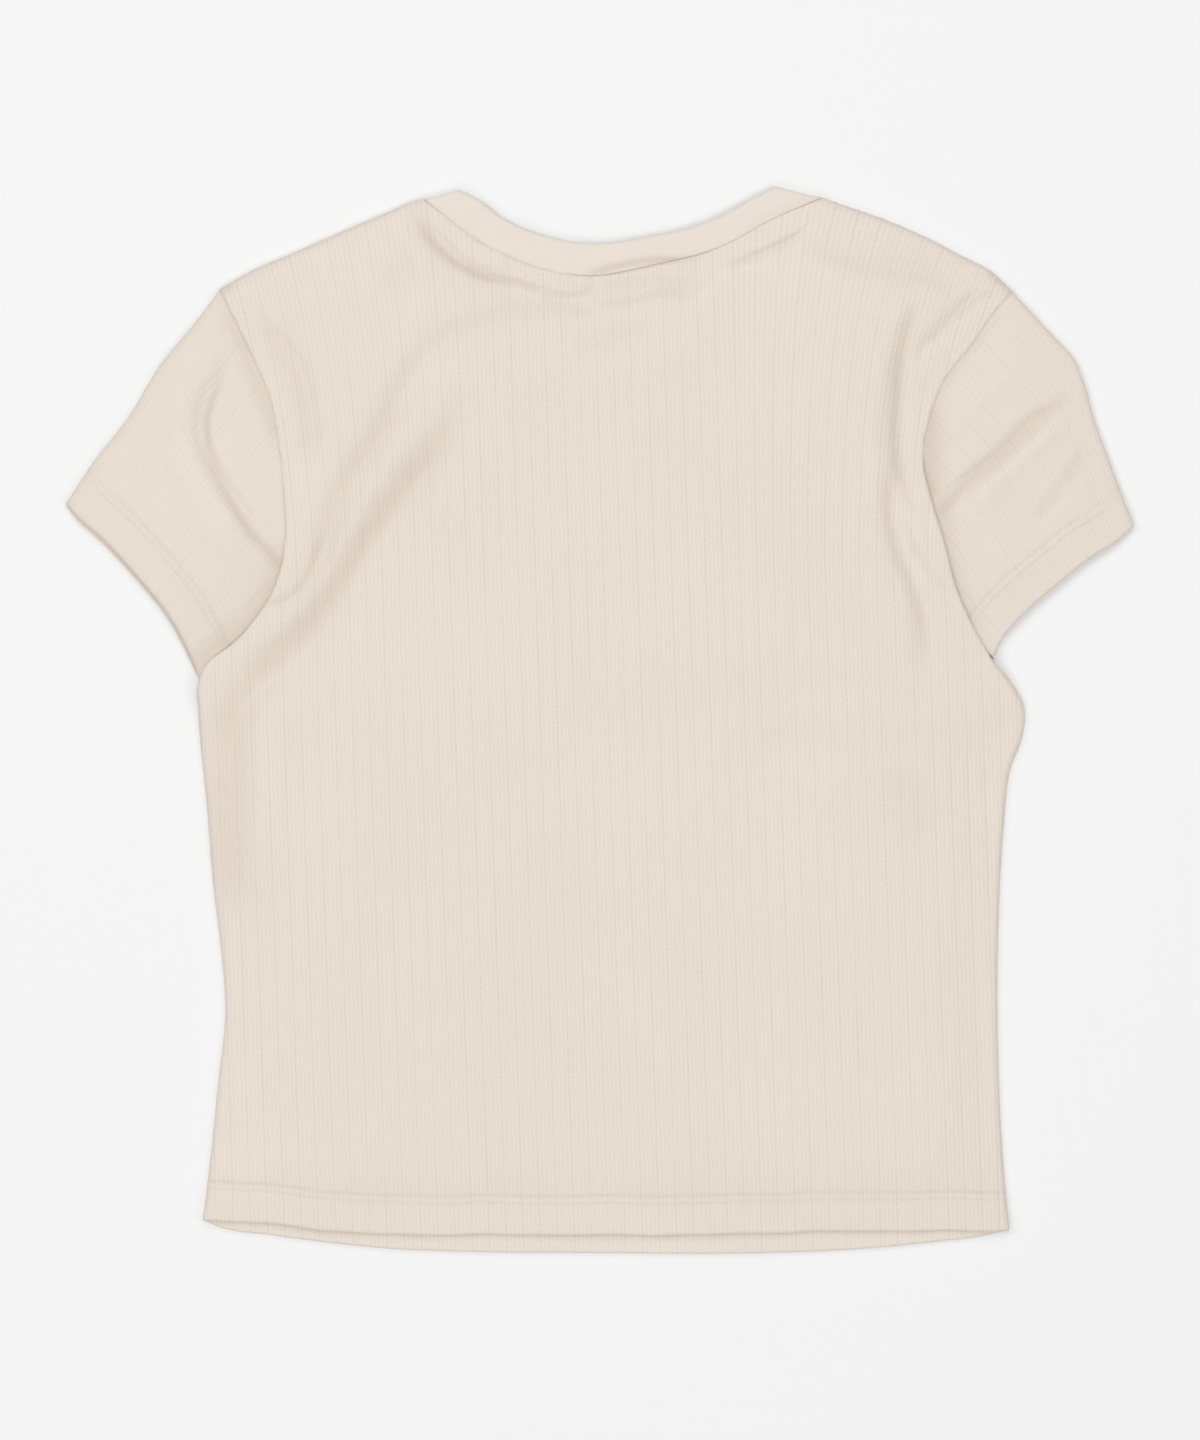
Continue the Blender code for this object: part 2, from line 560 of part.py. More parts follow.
def sleeve(name, seam, hidden, underarm, top, cuff, cuff_under, folds, tilt, side, collection):
    """A sleeve pressed flat from its armhole to its cuff. side is -1 on the left and 1 on the right.

    Its ribs run with the grain, which leans by the tilt, and close up a little towards the cuff."""
    half = side * SEAM_GAP / 2
    armhole = joined(beside(curve(seam, SEAM_STEP)[::-1], half), beside(curve(hidden, SEAM_STEP), half))
    under_line = beside(curve(underarm, SEAM_STEP), half)
    under_line[0] = armhole[-1]
    top_line = curve(top, SEAM_STEP)
    top_line[0] = armhole[0]
    upper_cuff, lower_cuff = curve(cuff, SEAM_STEP), curve(cuff_under, SEAM_STEP)
    upper_cuff[0] = lower_cuff[0] = top_line[-1]
    upper_cuff[-1] = lower_cuff[-1] = under_line[-1]
    overlap = curve(LEFT_OVERLAP if side < 0 else RIGHT_OVERLAP, SEAM_STEP)
    ribs = round(path_length(upper_cuff) / RIB_PITCH)

    def heights(xy, share, down):
        open_edge = edge_distance(xy, armhole, top_line, under_line, overlap)
        stand = SLEEVE_CROWN * smooth(open_edge / SLEEVE_CROWN_RUN)
        raised = stand + fold_height(xy, folds) * smooth(open_edge / FOLD_FADE)
        turned = smooth((HEM_DEPTH - edge_distance(xy, upper_cuff)) / 3.0)
        inside_z = WALL + SEAM_GAP + np.maximum(raised, 0.0)
        seam_edge = edge_distance(xy, armhole, upper_cuff)
        rib = rib_height(share * ribs * RIB_PITCH, seam_edge)
        outside_z = inside_z + WALL + HEM_LIFT * turned + rib - edge_round(seam_edge)
        return inside_z, outside_z

    grain = np.array([np.sin(np.radians(tilt)), -np.cos(np.radians(tilt))])
    upper = patch(armhole, upper_cuff, top_line, under_line, grain)
    lower = patch(armhole, lower_cuff, top_line, under_line)
    rows = rows_down(SLEEVE_ROWS, EDGE_ROUND / path_length(top_line))
    points, faces = pressed_tube(upper, lower, (top_line, under_line), heights, (2 * ribs, SEAM_CUTS),
                                 (SLEEVE_UNDER, 1), rows, rows[::-1], WALL)
    return cloth_object(name, points, faces, CREAM, collection)


def neckband(collection):
    """The band pressed flat: its back half lies on top and its front half under the back panel."""
    half = SEAM_GAP / 2
    back_seam, front_seam = curve(BACK_NECK, SEAM_STEP), curve(FRONT_NECK, SEAM_STEP)
    back_seam, front_seam = beside(back_seam, half), beside(front_seam, half)
    front_seam[0], front_seam[-1] = back_seam[0], back_seam[-1]
    left, right = curve(LEFT_BAND_FOLD, SEAM_STEP), curve(RIGHT_BAND_FOLD, SEAM_STEP)
    left[0], right[0] = back_seam[0], back_seam[-1]

    def heights(xy, share, down):
        inside_z = np.full(len(xy), WALL + SEAM_GAP)
        outside_z = inside_z + BAND_WALL + BAND_CROWN * np.sin(np.pi * down) ** 0.5
        return inside_z, outside_z

    upper = patch(back_seam, curve(BACK_BAND_EDGE, SEAM_STEP), left, right)
    lower = patch(front_seam, curve(FRONT_BAND_EDGE, SEAM_STEP), left, right)
    rows = rows_down(BAND_ROWS, BAND_EDGE)
    points, faces = pressed_tube(upper, lower, (left, right), heights, (BAND_AROUND, 1), (BAND_AROUND, 1),
                                 rows, np.linspace(1.0, 0.0, BAND_INNER_ROWS), WALL)
    return cloth_object("neckband", points, faces, BAND_CREAM, collection)


def main():
    for old in list(bpy.data.objects):
        bpy.data.objects.remove(old)
    collection = bpy.data.collections.new(NAME)
    bpy.context.scene.collection.children.link(collection)
    edges = body_edges()
    front_panel(edges, collection)
    back_panel(edges, collection)
    sleeve("sleeve_left", LEFT_ARMHOLE, LEFT_HIDDEN_SEAM, LEFT_UNDERARM, LEFT_SLEEVE_TOP, LEFT_CUFF,
           LEFT_CUFF_UNDER, LEFT_SLEEVE_FOLDS, LEFT_SLEEVE_TILT, -1, collection)
    sleeve("sleeve_right", RIGHT_ARMHOLE, RIGHT_HIDDEN_SEAM, RIGHT_UNDERARM, RIGHT_SLEEVE_TOP, RIGHT_CUFF,
           RIGHT_CUFF_UNDER, RIGHT_SLEEVE_FOLDS, RIGHT_SLEEVE_TILT, 1, collection)
    neckband(collection)


main()
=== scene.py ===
"""Looks of a cropped short sleeve t-shirt in needle-drop rib knit, laid out flat with its back upwards.

X runs across the shirt, Y from the hem to the neck, and Z up from the surface that it lies on. The
tables are in millimetres and the meshes in metres. Each cut piece is a thin closed shell: heights are
worked out over a grid whose columns follow the rib lines, so that a dropped needle falls on a column.
"""

from collections import namedtuple

import bpy
import numpy as np
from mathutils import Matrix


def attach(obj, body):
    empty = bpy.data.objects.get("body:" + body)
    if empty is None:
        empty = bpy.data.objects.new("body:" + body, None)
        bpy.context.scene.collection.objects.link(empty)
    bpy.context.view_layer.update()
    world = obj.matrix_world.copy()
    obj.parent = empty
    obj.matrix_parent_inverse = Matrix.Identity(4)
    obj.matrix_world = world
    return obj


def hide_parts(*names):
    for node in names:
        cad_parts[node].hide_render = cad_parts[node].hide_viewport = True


bl_info = {
    "name": "Rib Knit T-Shirt Laid Flat",
    "version": (1, 0, 0),
    "blender": (4, 5, 0),
    "location": "3D View > Sidebar > T-Shirt",
    "description": "A needle-drop rib knit t-shirt laid out flat, with its seams, folds and stitching",
    "category": "Add Mesh",
}

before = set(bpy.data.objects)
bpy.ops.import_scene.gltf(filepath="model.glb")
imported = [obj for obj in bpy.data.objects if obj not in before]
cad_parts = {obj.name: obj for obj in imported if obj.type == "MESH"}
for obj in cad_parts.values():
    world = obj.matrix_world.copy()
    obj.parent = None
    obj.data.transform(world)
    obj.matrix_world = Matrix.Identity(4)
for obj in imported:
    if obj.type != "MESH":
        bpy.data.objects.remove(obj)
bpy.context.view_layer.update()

MM = 0.001

# Plan curves in millimetres. Each runs from its first point to its last, smoothly through the others.
BACK_HEM = ((-198.5, -250), (-165, -252), (-129, -255.8), (-60, -257.3), (30, -257.3), (117, -255.8),
            (204.5, -255))
FRONT_HEM = ((-198.5, -250), (-190, -253.5), (-165, -257.3), (-135, -261.2), (-105, -264.2), (-70, -265.6),
             (0, -266.3), (60, -266.7), (100, -265.8), (135, -264), (165, -261), (190, -258), (204.5, -255))
LEFT_SIDE = ((-198.5, -250), (-194.3, -215), (-190.7, -180), (-187.2, -145), (-189, -118), (-193.5, -80),
             (-196.7, -40), (-199.6, -12), (-201, 8), (-201, 16))
RIGHT_SIDE = ((204.5, -255), (201, -215), (198.8, -165), (199, -105), (201.8, -52), (205.2, -24), (211.2, -8),
              (212.3, 5), (205, 19.5), (197.5, 27))
LEFT_OVERLAP = ((-201, 16), (-197, 27), (-182, 39), (-171, 52), (-162.5, 66), (-158.5, 80))
RIGHT_OVERLAP = ((197.5, 27), (187, 45), (178, 65), (172, 88), (165, 111), (161.5, 126), (162, 141))
LEFT_ARMHOLE = ((-158.5, 80), (-157, 93), (-158, 114), (-160, 135), (-164, 158), (-177, 189), (-190, 215))
RIGHT_ARMHOLE = ((162, 141), (166, 156), (174, 173), (183, 184), (198, 205), (206, 214))
LEFT_SHOULDER = ((-190, 215), (-180, 221.3), (-150, 234.8), (-120, 248), (-105, 254.2), (-95, 258.6),
                 (-88, 260.3))
RIGHT_SHOULDER = ((111, 261), (150, 247.1), (168, 238.8), (181, 231.8), (195, 224.7), (206, 214))
BACK_NECK = ((-88, 260.3), (-77, 251.5), (-64, 241), (-50, 233.5), (-36, 227.5), (-22, 223.5), (-5, 222),
             (27, 227.5), (58, 235.5), (89, 251.5), (111, 261))
FRONT_NECK = ((-88, 260.3), (-83, 232), (-69, 198), (-36, 171), (8, 162), (52, 172), (86, 200), (104, 234),
              (111, 261))
BACK_BAND_EDGE = ((-71, 265), (-60, 259.6), (-50, 251.6), (-35, 244.5), (-15, 239.2), (3, 238.3), (22, 241.2),
                  (45, 246), (60, 251.8), (75, 260), (88, 266.5))
FRONT_BAND_EDGE = ((-71, 265), (-67.5, 238), (-54, 207), (-28, 185), (8, 177.5), (44, 186), (70, 209),
                   (84, 240), (88, 266.5))
LEFT_BAND_FOLD = ((-88, 260.3), (-80, 262), (-71, 265))
RIGHT_BAND_FOLD = ((111, 261), (104, 262.2), (97, 264.2), (88, 266.5))

# The sleeves' armholes run on under the body's overlapping fold to the underarm point
LEFT_HIDDEN_SEAM = ((-158.5, 80), (-161, 67), (-163, 56), (-168, 46), (-176, 36))
RIGHT_HIDDEN_SEAM = ((162, 141), (161, 127), (160, 110), (163, 88), (169, 64), (177, 46))
LEFT_UNDERARM = ((-176, 36), (-188, 28), (-200, 19.5))
RIGHT_UNDERARM = ((177, 46), (186, 37), (196.5, 30.5))
LEFT_SLEEVE_TOP = ((-190, 215), (-200.3, 201), (-220.4, 176.5), (-236.3, 150.3), (-252.2, 130), (-267, 108))
RIGHT_SLEEVE_TOP = ((206, 214), (225.3, 193), (237, 180), (242, 168), (247, 150), (254.3, 130), (261, 112),
                    (267, 97))
LEFT_CUFF = ((-267, 108), (-260.8, 101.2), (-249.3, 91.2), (-230.9, 71.4), (-214.6, 51), (-204, 30.6),
             (-200, 19.5))
LEFT_CUFF_UNDER = ((-267, 108), (-261.8, 100.2), (-250.5, 90), (-232, 70.3), (-215.7, 50), (-205, 30),
                   (-200, 19.5))
RIGHT_CUFF = ((267, 97), (259.3, 90), (243.6, 80), (231.3, 70), (219.3, 60), (208.3, 49.5), (200.3, 39.5),
              (196.5, 30.5))
RIGHT_CUFF_UNDER = ((267, 97), (258.6, 90.8), (242.8, 80.8), (230.6, 70.7), (218.5, 60.6), (207.5, 50.4),
                    (199.8, 40.2), (196.5, 30.5))

# Lines on the back panel: the edge of the neck seam's allowance, and the left side seam below the waist
NECK_LEDGE = ((-92, 256), (-84.5, 242.5), (-76, 233), (-68, 228), (-61, 224.3), (-53, 221.8), (-44, 220.6),
              (-35, 218), (-20, 213.5), (-6, 214))
NECK_LEDGE_RIGHT = ((52, 225), (63, 227.5), (74, 232), (85, 237), (102, 246), (109, 255))
SIDE_SEAM = ((-186, -128), (-184, -140), (-182.5, -151), (-184, -180), (-185.5, -202), (-188, -224),
             (-190, -246))

# Folds, raised (height above 0) or sunk (below 0), with their reach to the left and right of the path
Fold = namedtuple("Fold", "height left right path")
BACK_FOLDS = (
    # the two long troughs from the neck and the breast to the left underarm
    Fold(-1.3, 7, 8, ((-17, 207), (-35, 204), (-52, 199), (-75, 189), (-91, 173), (-106, 150))),
    Fold(-3.0, 7, 8, ((-82, 182), (-99, 160), (-111, 139), (-128, 113), (-138, 90), (-146, 72), (-155, 60))),
    Fold(-2.0, 8, 9, ((-60, 170), (-72, 150), (-84, 130), (-97, 109))),
    Fold(-3.8, 10, 11, ((-76, 143), (-97, 109), (-114, 84), (-129, 60), (-146, 38), (-166, 22), (-181, 7),
                        (-188, -24))),
    Fold(0.7, 6, 6, ((-92, 152), (-110, 124), (-126, 94), (-141, 64), (-164, 41), (-186, 24))),
    # beside the left armhole
    Fold(-2.0, 3.5, 9, ((-168, 202), (-160, 190), (-151, 178), (-146, 160), (-144, 142), (-143, 124))),
    # the right armhole's pleat, the ridge beside it and the pleats below
    Fold(-1.7, 4, 5, ((160, 214), (157, 204), (152, 188), (150, 165), (149.5, 142), (151, 123), (155, 102))),
    Fold(0.7, 6, 6, ((141, 190), (138, 165), (137, 140), (137, 115), (140, 96))),
    Fold(-1.7, 4, 5, ((147, 128), (146, 112), (147, 101), (153, 81), (160, 63), (165, 48), (166, 30))),
    Fold(-1.6, 2.5, 3, ((150, 100), (156, 86), (166, 72), (177, 62))),
    Fold(-1.3, 7, 7, ((158, 60), (162, 40), (162, 20), (158, 0))),
    # along the right shoulder, and beside the top of its armhole
    Fold(-1.5, 5, 6, ((96, 241), (112, 236), (131, 228), (150, 225), (170, 222), (188, 217))),
    Fold(-1.6, 3.5, 4, ((203, 218), (192, 213), (180, 204), (170, 194), (161, 184), (156, 172))),
    # across the right of the waist, and down the left side
    Fold(-0.5, 8, 8, ((64, 22), (95, 22), (125, 20), (156, 17))),
    Fold(-0.7, 9, 10, ((66, -8), (110, -9), (150, -8), (196, -4))),
    Fold(-0.8, 12, 12, ((150, -20), (158, -42), (172, -62))),
    Fold(1.8, 12, 12, ((-163, 26), (-163, 0), (-165, -30), (-171, -70), (-175, -100))),
    Fold(-1.4, 9, 12, ((-186, 10), (-185, -20), (-184, -50), (-185, -90))),
)
FINE_FOLDS = (
    # below the neck seam's allowance, and the pinch in the middle of the back neck
    Fold(-1.0, 2.2, 3.4, ((-92, 254), (-84, 242), (-76, 235), (-69, 229), (-57, 223), (-40, 217))),
    Fold(0.5, 2.5, 3.5, ((-60, 221), (-48, 217), (-34, 213.5), (-20, 209))),
    Fold(-1.0, 1.6, 1.8, ((-8, 218.5), (1, 222.5), (17, 225), (32, 227), (50, 228.5), (58, 231))),
    Fold(-0.6, 2.0, 2.0, ((-6, 222), (-6, 215), (-11, 210), (-20, 208))),
    Fold(-0.9, 2.0, 2.4, ((-4, 208), (8, 209.5), (17, 210.3), (32, 213.8), (42, 212), (50, 211))),
    Fold(-0.7, 1.6, 2.2, ((-30, 210), (-22, 206.5), (-12, 204), (-2, 201.5))),
    Fold(-0.9, 1.8, 2.4, ((62, 225), (74, 230), (86, 235), (96, 240), (106, 248))),
    Fold(0.5, 3.0, 3.4, ((38, 203), (43, 206), (54, 214), (62, 222.5), (74, 227), (90, 230))),
    Fold(-0.8, 4, 4, ((-14, 183), (0, 190), (14, 194.5), (30, 197))),
    Fold(-0.5, 3, 3, ((46, 198), (62, 206), (74, 214))),
    Fold(-0.5, 6, 6, ((-120, 205), (-100, 214), (-84, 218))),
    Fold(-0.6, 2, 2, ((-147, 72), (-151, 63), (-158, 58))),
    Fold(-0.6, 4, 5, ((178, 34), (192, 20), (206, 6))),
)
LEFT_SLEEVE_FOLDS = (
    Fold(-2.6, 3.2, 4.5, ((-184, 184), (-190, 172), (-196, 160), (-198.5, 143), (-192, 126), (-180, 107),
                          (-164, 82))),
    Fold(-1.4, 2.5, 3, ((-188, 205), (-184, 194), (-177, 180), (-169, 164), (-165, 152))),
    Fold(1.0, 8, 8, ((-200, 190), (-212, 160), (-210, 130), (-192, 100))),
    Fold(-0.7, 8, 8, ((-214, 176), (-228, 150), (-244, 128))),
)
RIGHT_SLEEVE_FOLDS = (
    Fold(-3.0, 3.5, 5, ((168, 100), (173, 107), (182, 118), (199, 132), (213, 146), (230, 161))),
    Fold(1.5, 5, 6, ((184, 106), (200, 122), (217, 138), (232, 150))),
    Fold(-1.6, 2.5, 3, ((205, 206), (196, 196), (184, 181), (174, 168), (168, 156))),
    Fold(-1.4, 3, 3.5, ((216, 98), (230, 116), (243, 133), (250, 140))),
    Fold(0.9, 5, 5, ((168, 142), (182, 155), (196, 167), (210, 178))),
    Fold(-0.6, 5, 5, ((170, 128), (188, 146), (206, 162))),
)

# Painted shade in the folds: how much darker the colour is painted deep in a fold, as a share of it,
# along lines as above. Below 0 it is a painted highlight, lighter, as on a ridge.
BACK_SHADES = (
    # the left bands, and the side below them
    Fold(0.035, 6, 6, ((-106, 158), (-97, 175), (-84, 190), (-60, 200), (-37, 206), (-12, 202))),
    Fold(0.075, 5, 6, ((-92, 172), (-98, 163), (-113, 139), (-129, 116), (-139, 91), (-147.5, 70),
                       (-152, 62))),
    Fold(0.085, 2.0, 2.2, ((-136, 97), (-140.5, 87), (-144.5, 77), (-148.5, 68.5), (-155, 62), (-163, 59),
                           (-175, 56))),
    Fold(0.10, 7, 8, ((-60, 168), (-67.5, 158.5), (-83.5, 135), (-101.5, 112), (-117.5, 91), (-131.5, 67.5),
                      (-145.5, 47), (-164, 30), (-180, 12), (-186, -12))),
    Fold(0.075, 9, 10, ((-181, 24), (-185, -8), (-186, -50), (-184, -100))),
    # the right pleats
    Fold(0.12, 3, 3.5, ((158, 216), (154, 200), (150, 182), (148, 160), (147.5, 138), (150, 120),
                        (157, 100))),
    Fold(0.085, 3, 4, ((148, 138), (144, 121), (143, 110), (147, 84), (155, 66), (160, 50), (161, 23))),
    Fold(0.05, 2, 2, ((151, 96), (157, 85), (166, 72), (177, 61))),
    # the shoulders and the armholes
    Fold(0.03, 6, 6, ((96, 243), (112, 236), (131, 228), (161, 224), (184, 219))),
    Fold(0.05, 2.5, 2.5, ((202, 218), (185, 208), (171, 195), (160, 184))),
    Fold(0.06, 2.5, 7, ((-172, 206), (-162, 191), (-151, 172), (-147, 157), (-145, 140), (-144, 124))),
    Fold(0.03, 8, 8, ((-112, 220), (-100, 226), (-90, 230))),
    Fold(0.09, 3, 3, ((-197, 208), (-190, 214), (-182, 219))),
    Fold(0.08, 3, 3, ((192, 224), (201, 218), (208, 211))),
    # below the neck seam
    Fold(0.05, 1.4, 1.4, ((-10, 219), (1, 224.3), (17, 226.8), (32, 229.3), (54, 230))),
    Fold(0.13, 2.0, 2.6, ((-96, 258), (-88, 246), (-83, 238.5), (-75.5, 231), (-68, 226.4), (-61, 222.8),
                          (-53, 220.2), (-44, 219.2), (-30, 215), (-18, 211))),
    Fold(0.045, 4, 4, ((-97, 254), (-91, 245), (-85, 237.5), (-76, 229.5), (-66, 224), (-54, 219),
                       (-38, 215))),
    Fold(0.06, 1.1, 1.3, ((-94, 260), (-85.5, 248), (-78, 241), (-70, 233.6), (-62, 228.2), (-53, 225),
                          (-42, 223))),
    Fold(0.09, 1.4, 1.6, ((-30, 213), (-14, 212.5), (-5, 214.5), (-4.5, 222))),
    Fold(0.04, 3.5, 4.5, ((-8, 214), (3, 217), (14, 219), (28, 219.5), (44, 218), (54, 218))),
    Fold(0.05, 1.8, 1.8, ((-30, 210), (-15, 206), (-1, 201))),
    Fold(0.05, 2, 2.4, ((-4, 208), (8, 209.5), (17, 210.3), (32, 213.8), (50, 211))),
    Fold(0.08, 1.8, 2.4, ((60, 225), (74, 231), (85, 236), (95, 241), (103, 246))),
    Fold(-0.03, 3.0, 3.4, ((40, 203), (43, 206), (54, 214), (62, 223), (74, 227.5), (90, 230))),
    Fold(-0.03, 3, 3, ((-62, 220), (-50, 218), (-34, 214), (-17, 210))),
    Fold(0.03, 5, 5, ((-14, 183), (0, 190), (14, 194.5), (30, 197))),
    # across the right of the waist
    Fold(0.012, 6, 6, ((58, 20), (95, 20), (136, 19))),
    Fold(0.016, 7, 7, ((52, -8), (110, -8), (150, -8), (200, -6))),
    Fold(0.03, 12, 12, ((152, -20), (156, -42), (166, -62))),
)
# Painted shade on the left sleeve: beside the body's fold over it, at its armhole and in its crease, with a
# painted highlight on a ridge
LEFT_SLEEVE_SHADES = (
    Fold(0.12, 8, 7, ((-155, 96), (-159, 76), (-168, 58), (-180, 44), (-192, 35), (-205, 24), (-214, 17))),
    Fold(0.09, 4, 4, ((-193, 213), (-183, 196), (-173, 172), (-165, 152), (-160, 128))),
    Fold(0.14, 2.4, 3.0, ((-184, 186), (-190, 170), (-196.5, 150), (-196, 138), (-191, 123), (-177, 98),
                          (-160, 78), (-146, 62))),
    Fold(-0.03, 5, 5, ((-208, 150), (-206, 130), (-196, 110), (-182, 92))),
)
# Painted shade on the neckband: darkest along its seam right of the middle, fainter near the shoulders
NECKBAND_SHADES = (
    Fold(0.17, 2.0, 2.0, ((-12, 222), (4.9, 225.7), (14.7, 228.2), (27, 229.9), (37, 229.9), (46, 229),
                          (60, 232))),
    Fold(0.04, 2.5, 2.5, ((-88, 258), (-80, 252), (-68, 243), (-54, 235))),
    Fold(0.03, 2.5, 2.5, ((70, 244), (86, 253), (100, 259), (111, 262))),
)
# Painted shade on the right sleeve: beside the body's fold over it, at its armhole and in its creases, with
# painted highlights on two ridges
RIGHT_SLEEVE_SHADES = (
    Fold(0.10, 5.5, 5.5, ((160, 190), (163, 172), (167, 150), (168, 112), (172, 98), (175, 77), (182, 56),
                          (198, 28))),
    Fold(0.10, 3, 3, ((161, 165), (164, 149), (163, 130), (167, 104))),
    Fold(0.13, 2.8, 3.2, ((163, 94), (173, 107), (182, 118), (199, 132), (213, 146), (238, 166))),
    Fold(-0.03, 4, 4, ((180, 104), (200, 123), (217, 138), (232, 150))),
    Fold(0.06, 2, 2, ((216, 98), (222, 105), (243, 132), (248, 139))),
    Fold(-0.02, 4, 4, ((164, 138), (180, 153), (194, 165), (206, 176))),
    Fold(0.05, 2, 2, ((205, 208), (192, 193), (176, 172), (166, 156))),
)

# What full painted shade leaves of the colour's red, green and blue
SHADE_LEFT = (0.36, 0.18, 0.02)

# How strongly a sleeve's lines and ribs show, beside the body's
SLEEVE_STRENGTH = 0.45

# How much darker the colour is painted along edges, seams and stitched rows: painted shade where the
# edges round over, in the seams and in the stitched rows' dents, and how far that reaches
Bell = namedtuple("Bell", "height reach")
SHOULDER_SHADE = Bell(0.075, 3.2)
SIDE_SHADE = Bell(0.045, 2.6)
SLEEVE_EDGE_SHADE = Bell(0.065, 3.0)
CUFF_SHADE = {"left": Bell(0.06, 2.0), "right": Bell(0.0, 2.0)}
ARMHOLE_SHADE = Bell(0.09, 0.8)
NECK_SHADE = Bell(0.04, 1.2)
# the painted shadow that the back hem casts on the front panel just below it
UNDER_HEM_SHADE = Bell(0.10, 2.4)
HEM_ROW_SHADES = (Bell(0.075, 1.1), Bell(0.015, 1.1))
CUFF_ROW_SHADES = (Bell(0.045, 1.1), Bell(0.03, 1.1))

# How deep the stitched rows and the side seam lie, and how far that reaches
HEM_ROW_DENTS = (Bell(0.25, 1.2), Bell(0.05, 1.0))
CUFF_ROW_DENTS = (Bell(0.25, 1.2), Bell(0.12, 1.0))
SIDE_GROOVE = Bell(0.5, 0.9)
NOTCH = Bell(0.35, 1.2)
NOTCH_X = -5.0

# How the painted shade in a seam, and the painted shadow below the hem, waxes and wanes along it: a
# quick wave bent by a longer one, and a slow wave
Waxing = namedtuple("Waxing", "mean quick quick_length bend bend_length slow slow_length")
SEAM_WAXING = Waxing(0.8, 0.25, 2.3, 2.0, 11.0, 0.2, 17.0)
HEM_WAXING = Waxing(0.75, 0.2, 7.0, 2.0, 19.0, 0.2, 31.0)

# How the cloth never lies quite flat, and how the sewn hem strays: heights times sines of x and y over
# lengths
Wave = namedtuple("Wave", "height x_length y_length start")
UNEVENNESS = (Wave(0.16, 31.0, 57.0, 0.7), Wave(0.12, -71.0, 23.0, 2.1), Wave(0.08, 13.0, -37.0, 4.0))
HEM_WOBBLE = (Wave(0.22, 9.0, 1.0, 1.3), Wave(0.16, 5.3, 1.0, 0.4), Wave(0.2, 23.0, 1.0, 2.6))
SLEEVE_UNEVENNESS = 0.7
BAND_RIPPLE = 0.12
BAND_RIPPLE_LENGTHS = (9.0, 23.0)
BAND_RIPPLE_START = 1.0

# How strongly a dropped needle shows: a share for all, one that differs from line to line, and waves
# along the line
LINE_BASE = 0.65
LINE_SPREAD = 0.55
LINE_WAVE_MEAN = 0.8
LINE_WAVES = ((0.3, 33.0), (0.2, 13.0))
LINE_WAVE_RANGE = (0.35, 1.3)
SOLID_SHARE = (0.5, 1.1)  # how much of a needle shows as a line: the least, and what an even one adds
DOTTED_SHARE = (0.3, 1.3)
RIB_SHARE = (0.75, 0.25)
SCATTER_SCALE = 12.9898
SCATTER_SHIFT = 4.1
SCATTER_SPREAD = 4375.85453
LINE_START_SEED = 0.37
DOTTED_SEED = 0.71
CROWN_OF_RIB = 0.05
FRONT_RELIEF = 0.6
SLEEVE_RELIEF = 0.5

# Cloth, in millimetres, as in the frame
WALL = 1.2
SEAM_GAP = 0.3
HEM_DEPTH = 20.0
HEM_LIFT = 0.5
HEM_STEP = 1.5
SECOND_ROW = 16.4         # how far up the second row of stitches runs
NECK_ALLOWANCE = 14.0    # how far below the neck seam its allowance can reach
NECK_FADE = 3.0
NECK_LIFT = 1.0
RIGHT_NECK_LIFT = 0.6
LEDGE_RUN = 2.0
LEDGE_END = 0.15         # the share of a ledge's length over which it rises at either end
CROWN = 4.0
CROWN_RUN = 38.0
SLEEVE_CROWN = 2.4
SLEEVE_CROWN_RUN = 26.0
CUFF_CROWN = 0.3          # the share of the crown that is left at the cuff
CUFF_CROWN_RUN = 22.0
FOLD_FADE = 9.0
FOLD_END = 0.22          # the share of a fold's length over which it rises at either end
FOLD_STEP = 6.0
OVERLAP_LIFT = 2.4
OVERLAP_FLAT = 6.0
OVERLAP_RUN = 30.0
OVERLAP_END = 0.16
BAND_WALL = 1.5
BAND_CROWN = 0.5
BAND_MIDDLE = 1.4        # the height at which the band's fold and edge meet
BAND_RUN = 15.0
BAND_DEPTH = 16.0

# How the edges round over
LOW_EDGE = 0.35          # a folded side comes down to this height above the ground
LOW_EDGE_RUN = 12.0
FOLD_RADIUS = 3.2
SEAM_RADIUS = 1.6
SEAM_DROP = 0.35
HEM_RADIUS = 2.2
HEM_LIP = 0.15           # what is left of the wall at a hem
OVERLAP_RADIUS = 2.6
OVERLAP_LIP = 0.1
SLEEVE_RADIUS = 2.6
SLEEVE_SINK = 0.2        # a sleeve's fold lies this far below half its height
BAND_RADIUS = 2.4
TUBE_RISE = 1.2          # how far the underside of a pressed tube rises at its folds
TUBE_RADIUS = 1.6
RIB_FADE = 2.0           # the ribs fade out this far from a seam or fold
FRONT_HEM_RADIUS = 1.0
FRONT_FOLD_RADIUS = 1.6
FRONT_FOLD_START = 0.4
UNDER_INSET = 2.4        # the lower layer ends this far inside a folded side
UNDER_REACH = 4.0
UNDER_START = 6.0        # and starts to do so this far above the hem
UNDER_RUN = 14.0
VISIBLE_GAP = 0.04
LEAST_WALL = 0.9
THINNEST_WALL = 0.05
LOWEST_INSIDE = 0.03

# The body's rib lines: how far they lean for each unit up, and how the shoulders pull them
BODY_LEAN = 0.033
LEFT_PULL = 14.0
RIGHT_PULL = 22.0
PULL_START_X = 60.0
PULL_START_Y = 60.0
PULL_WIDTH = 110.0
PULL_HEIGHT = 150.0
GRAIN_SHARE = 0.7
LEFT_SLEEVE_TILT = -35.0
RIGHT_SLEEVE_TILT = 32.0

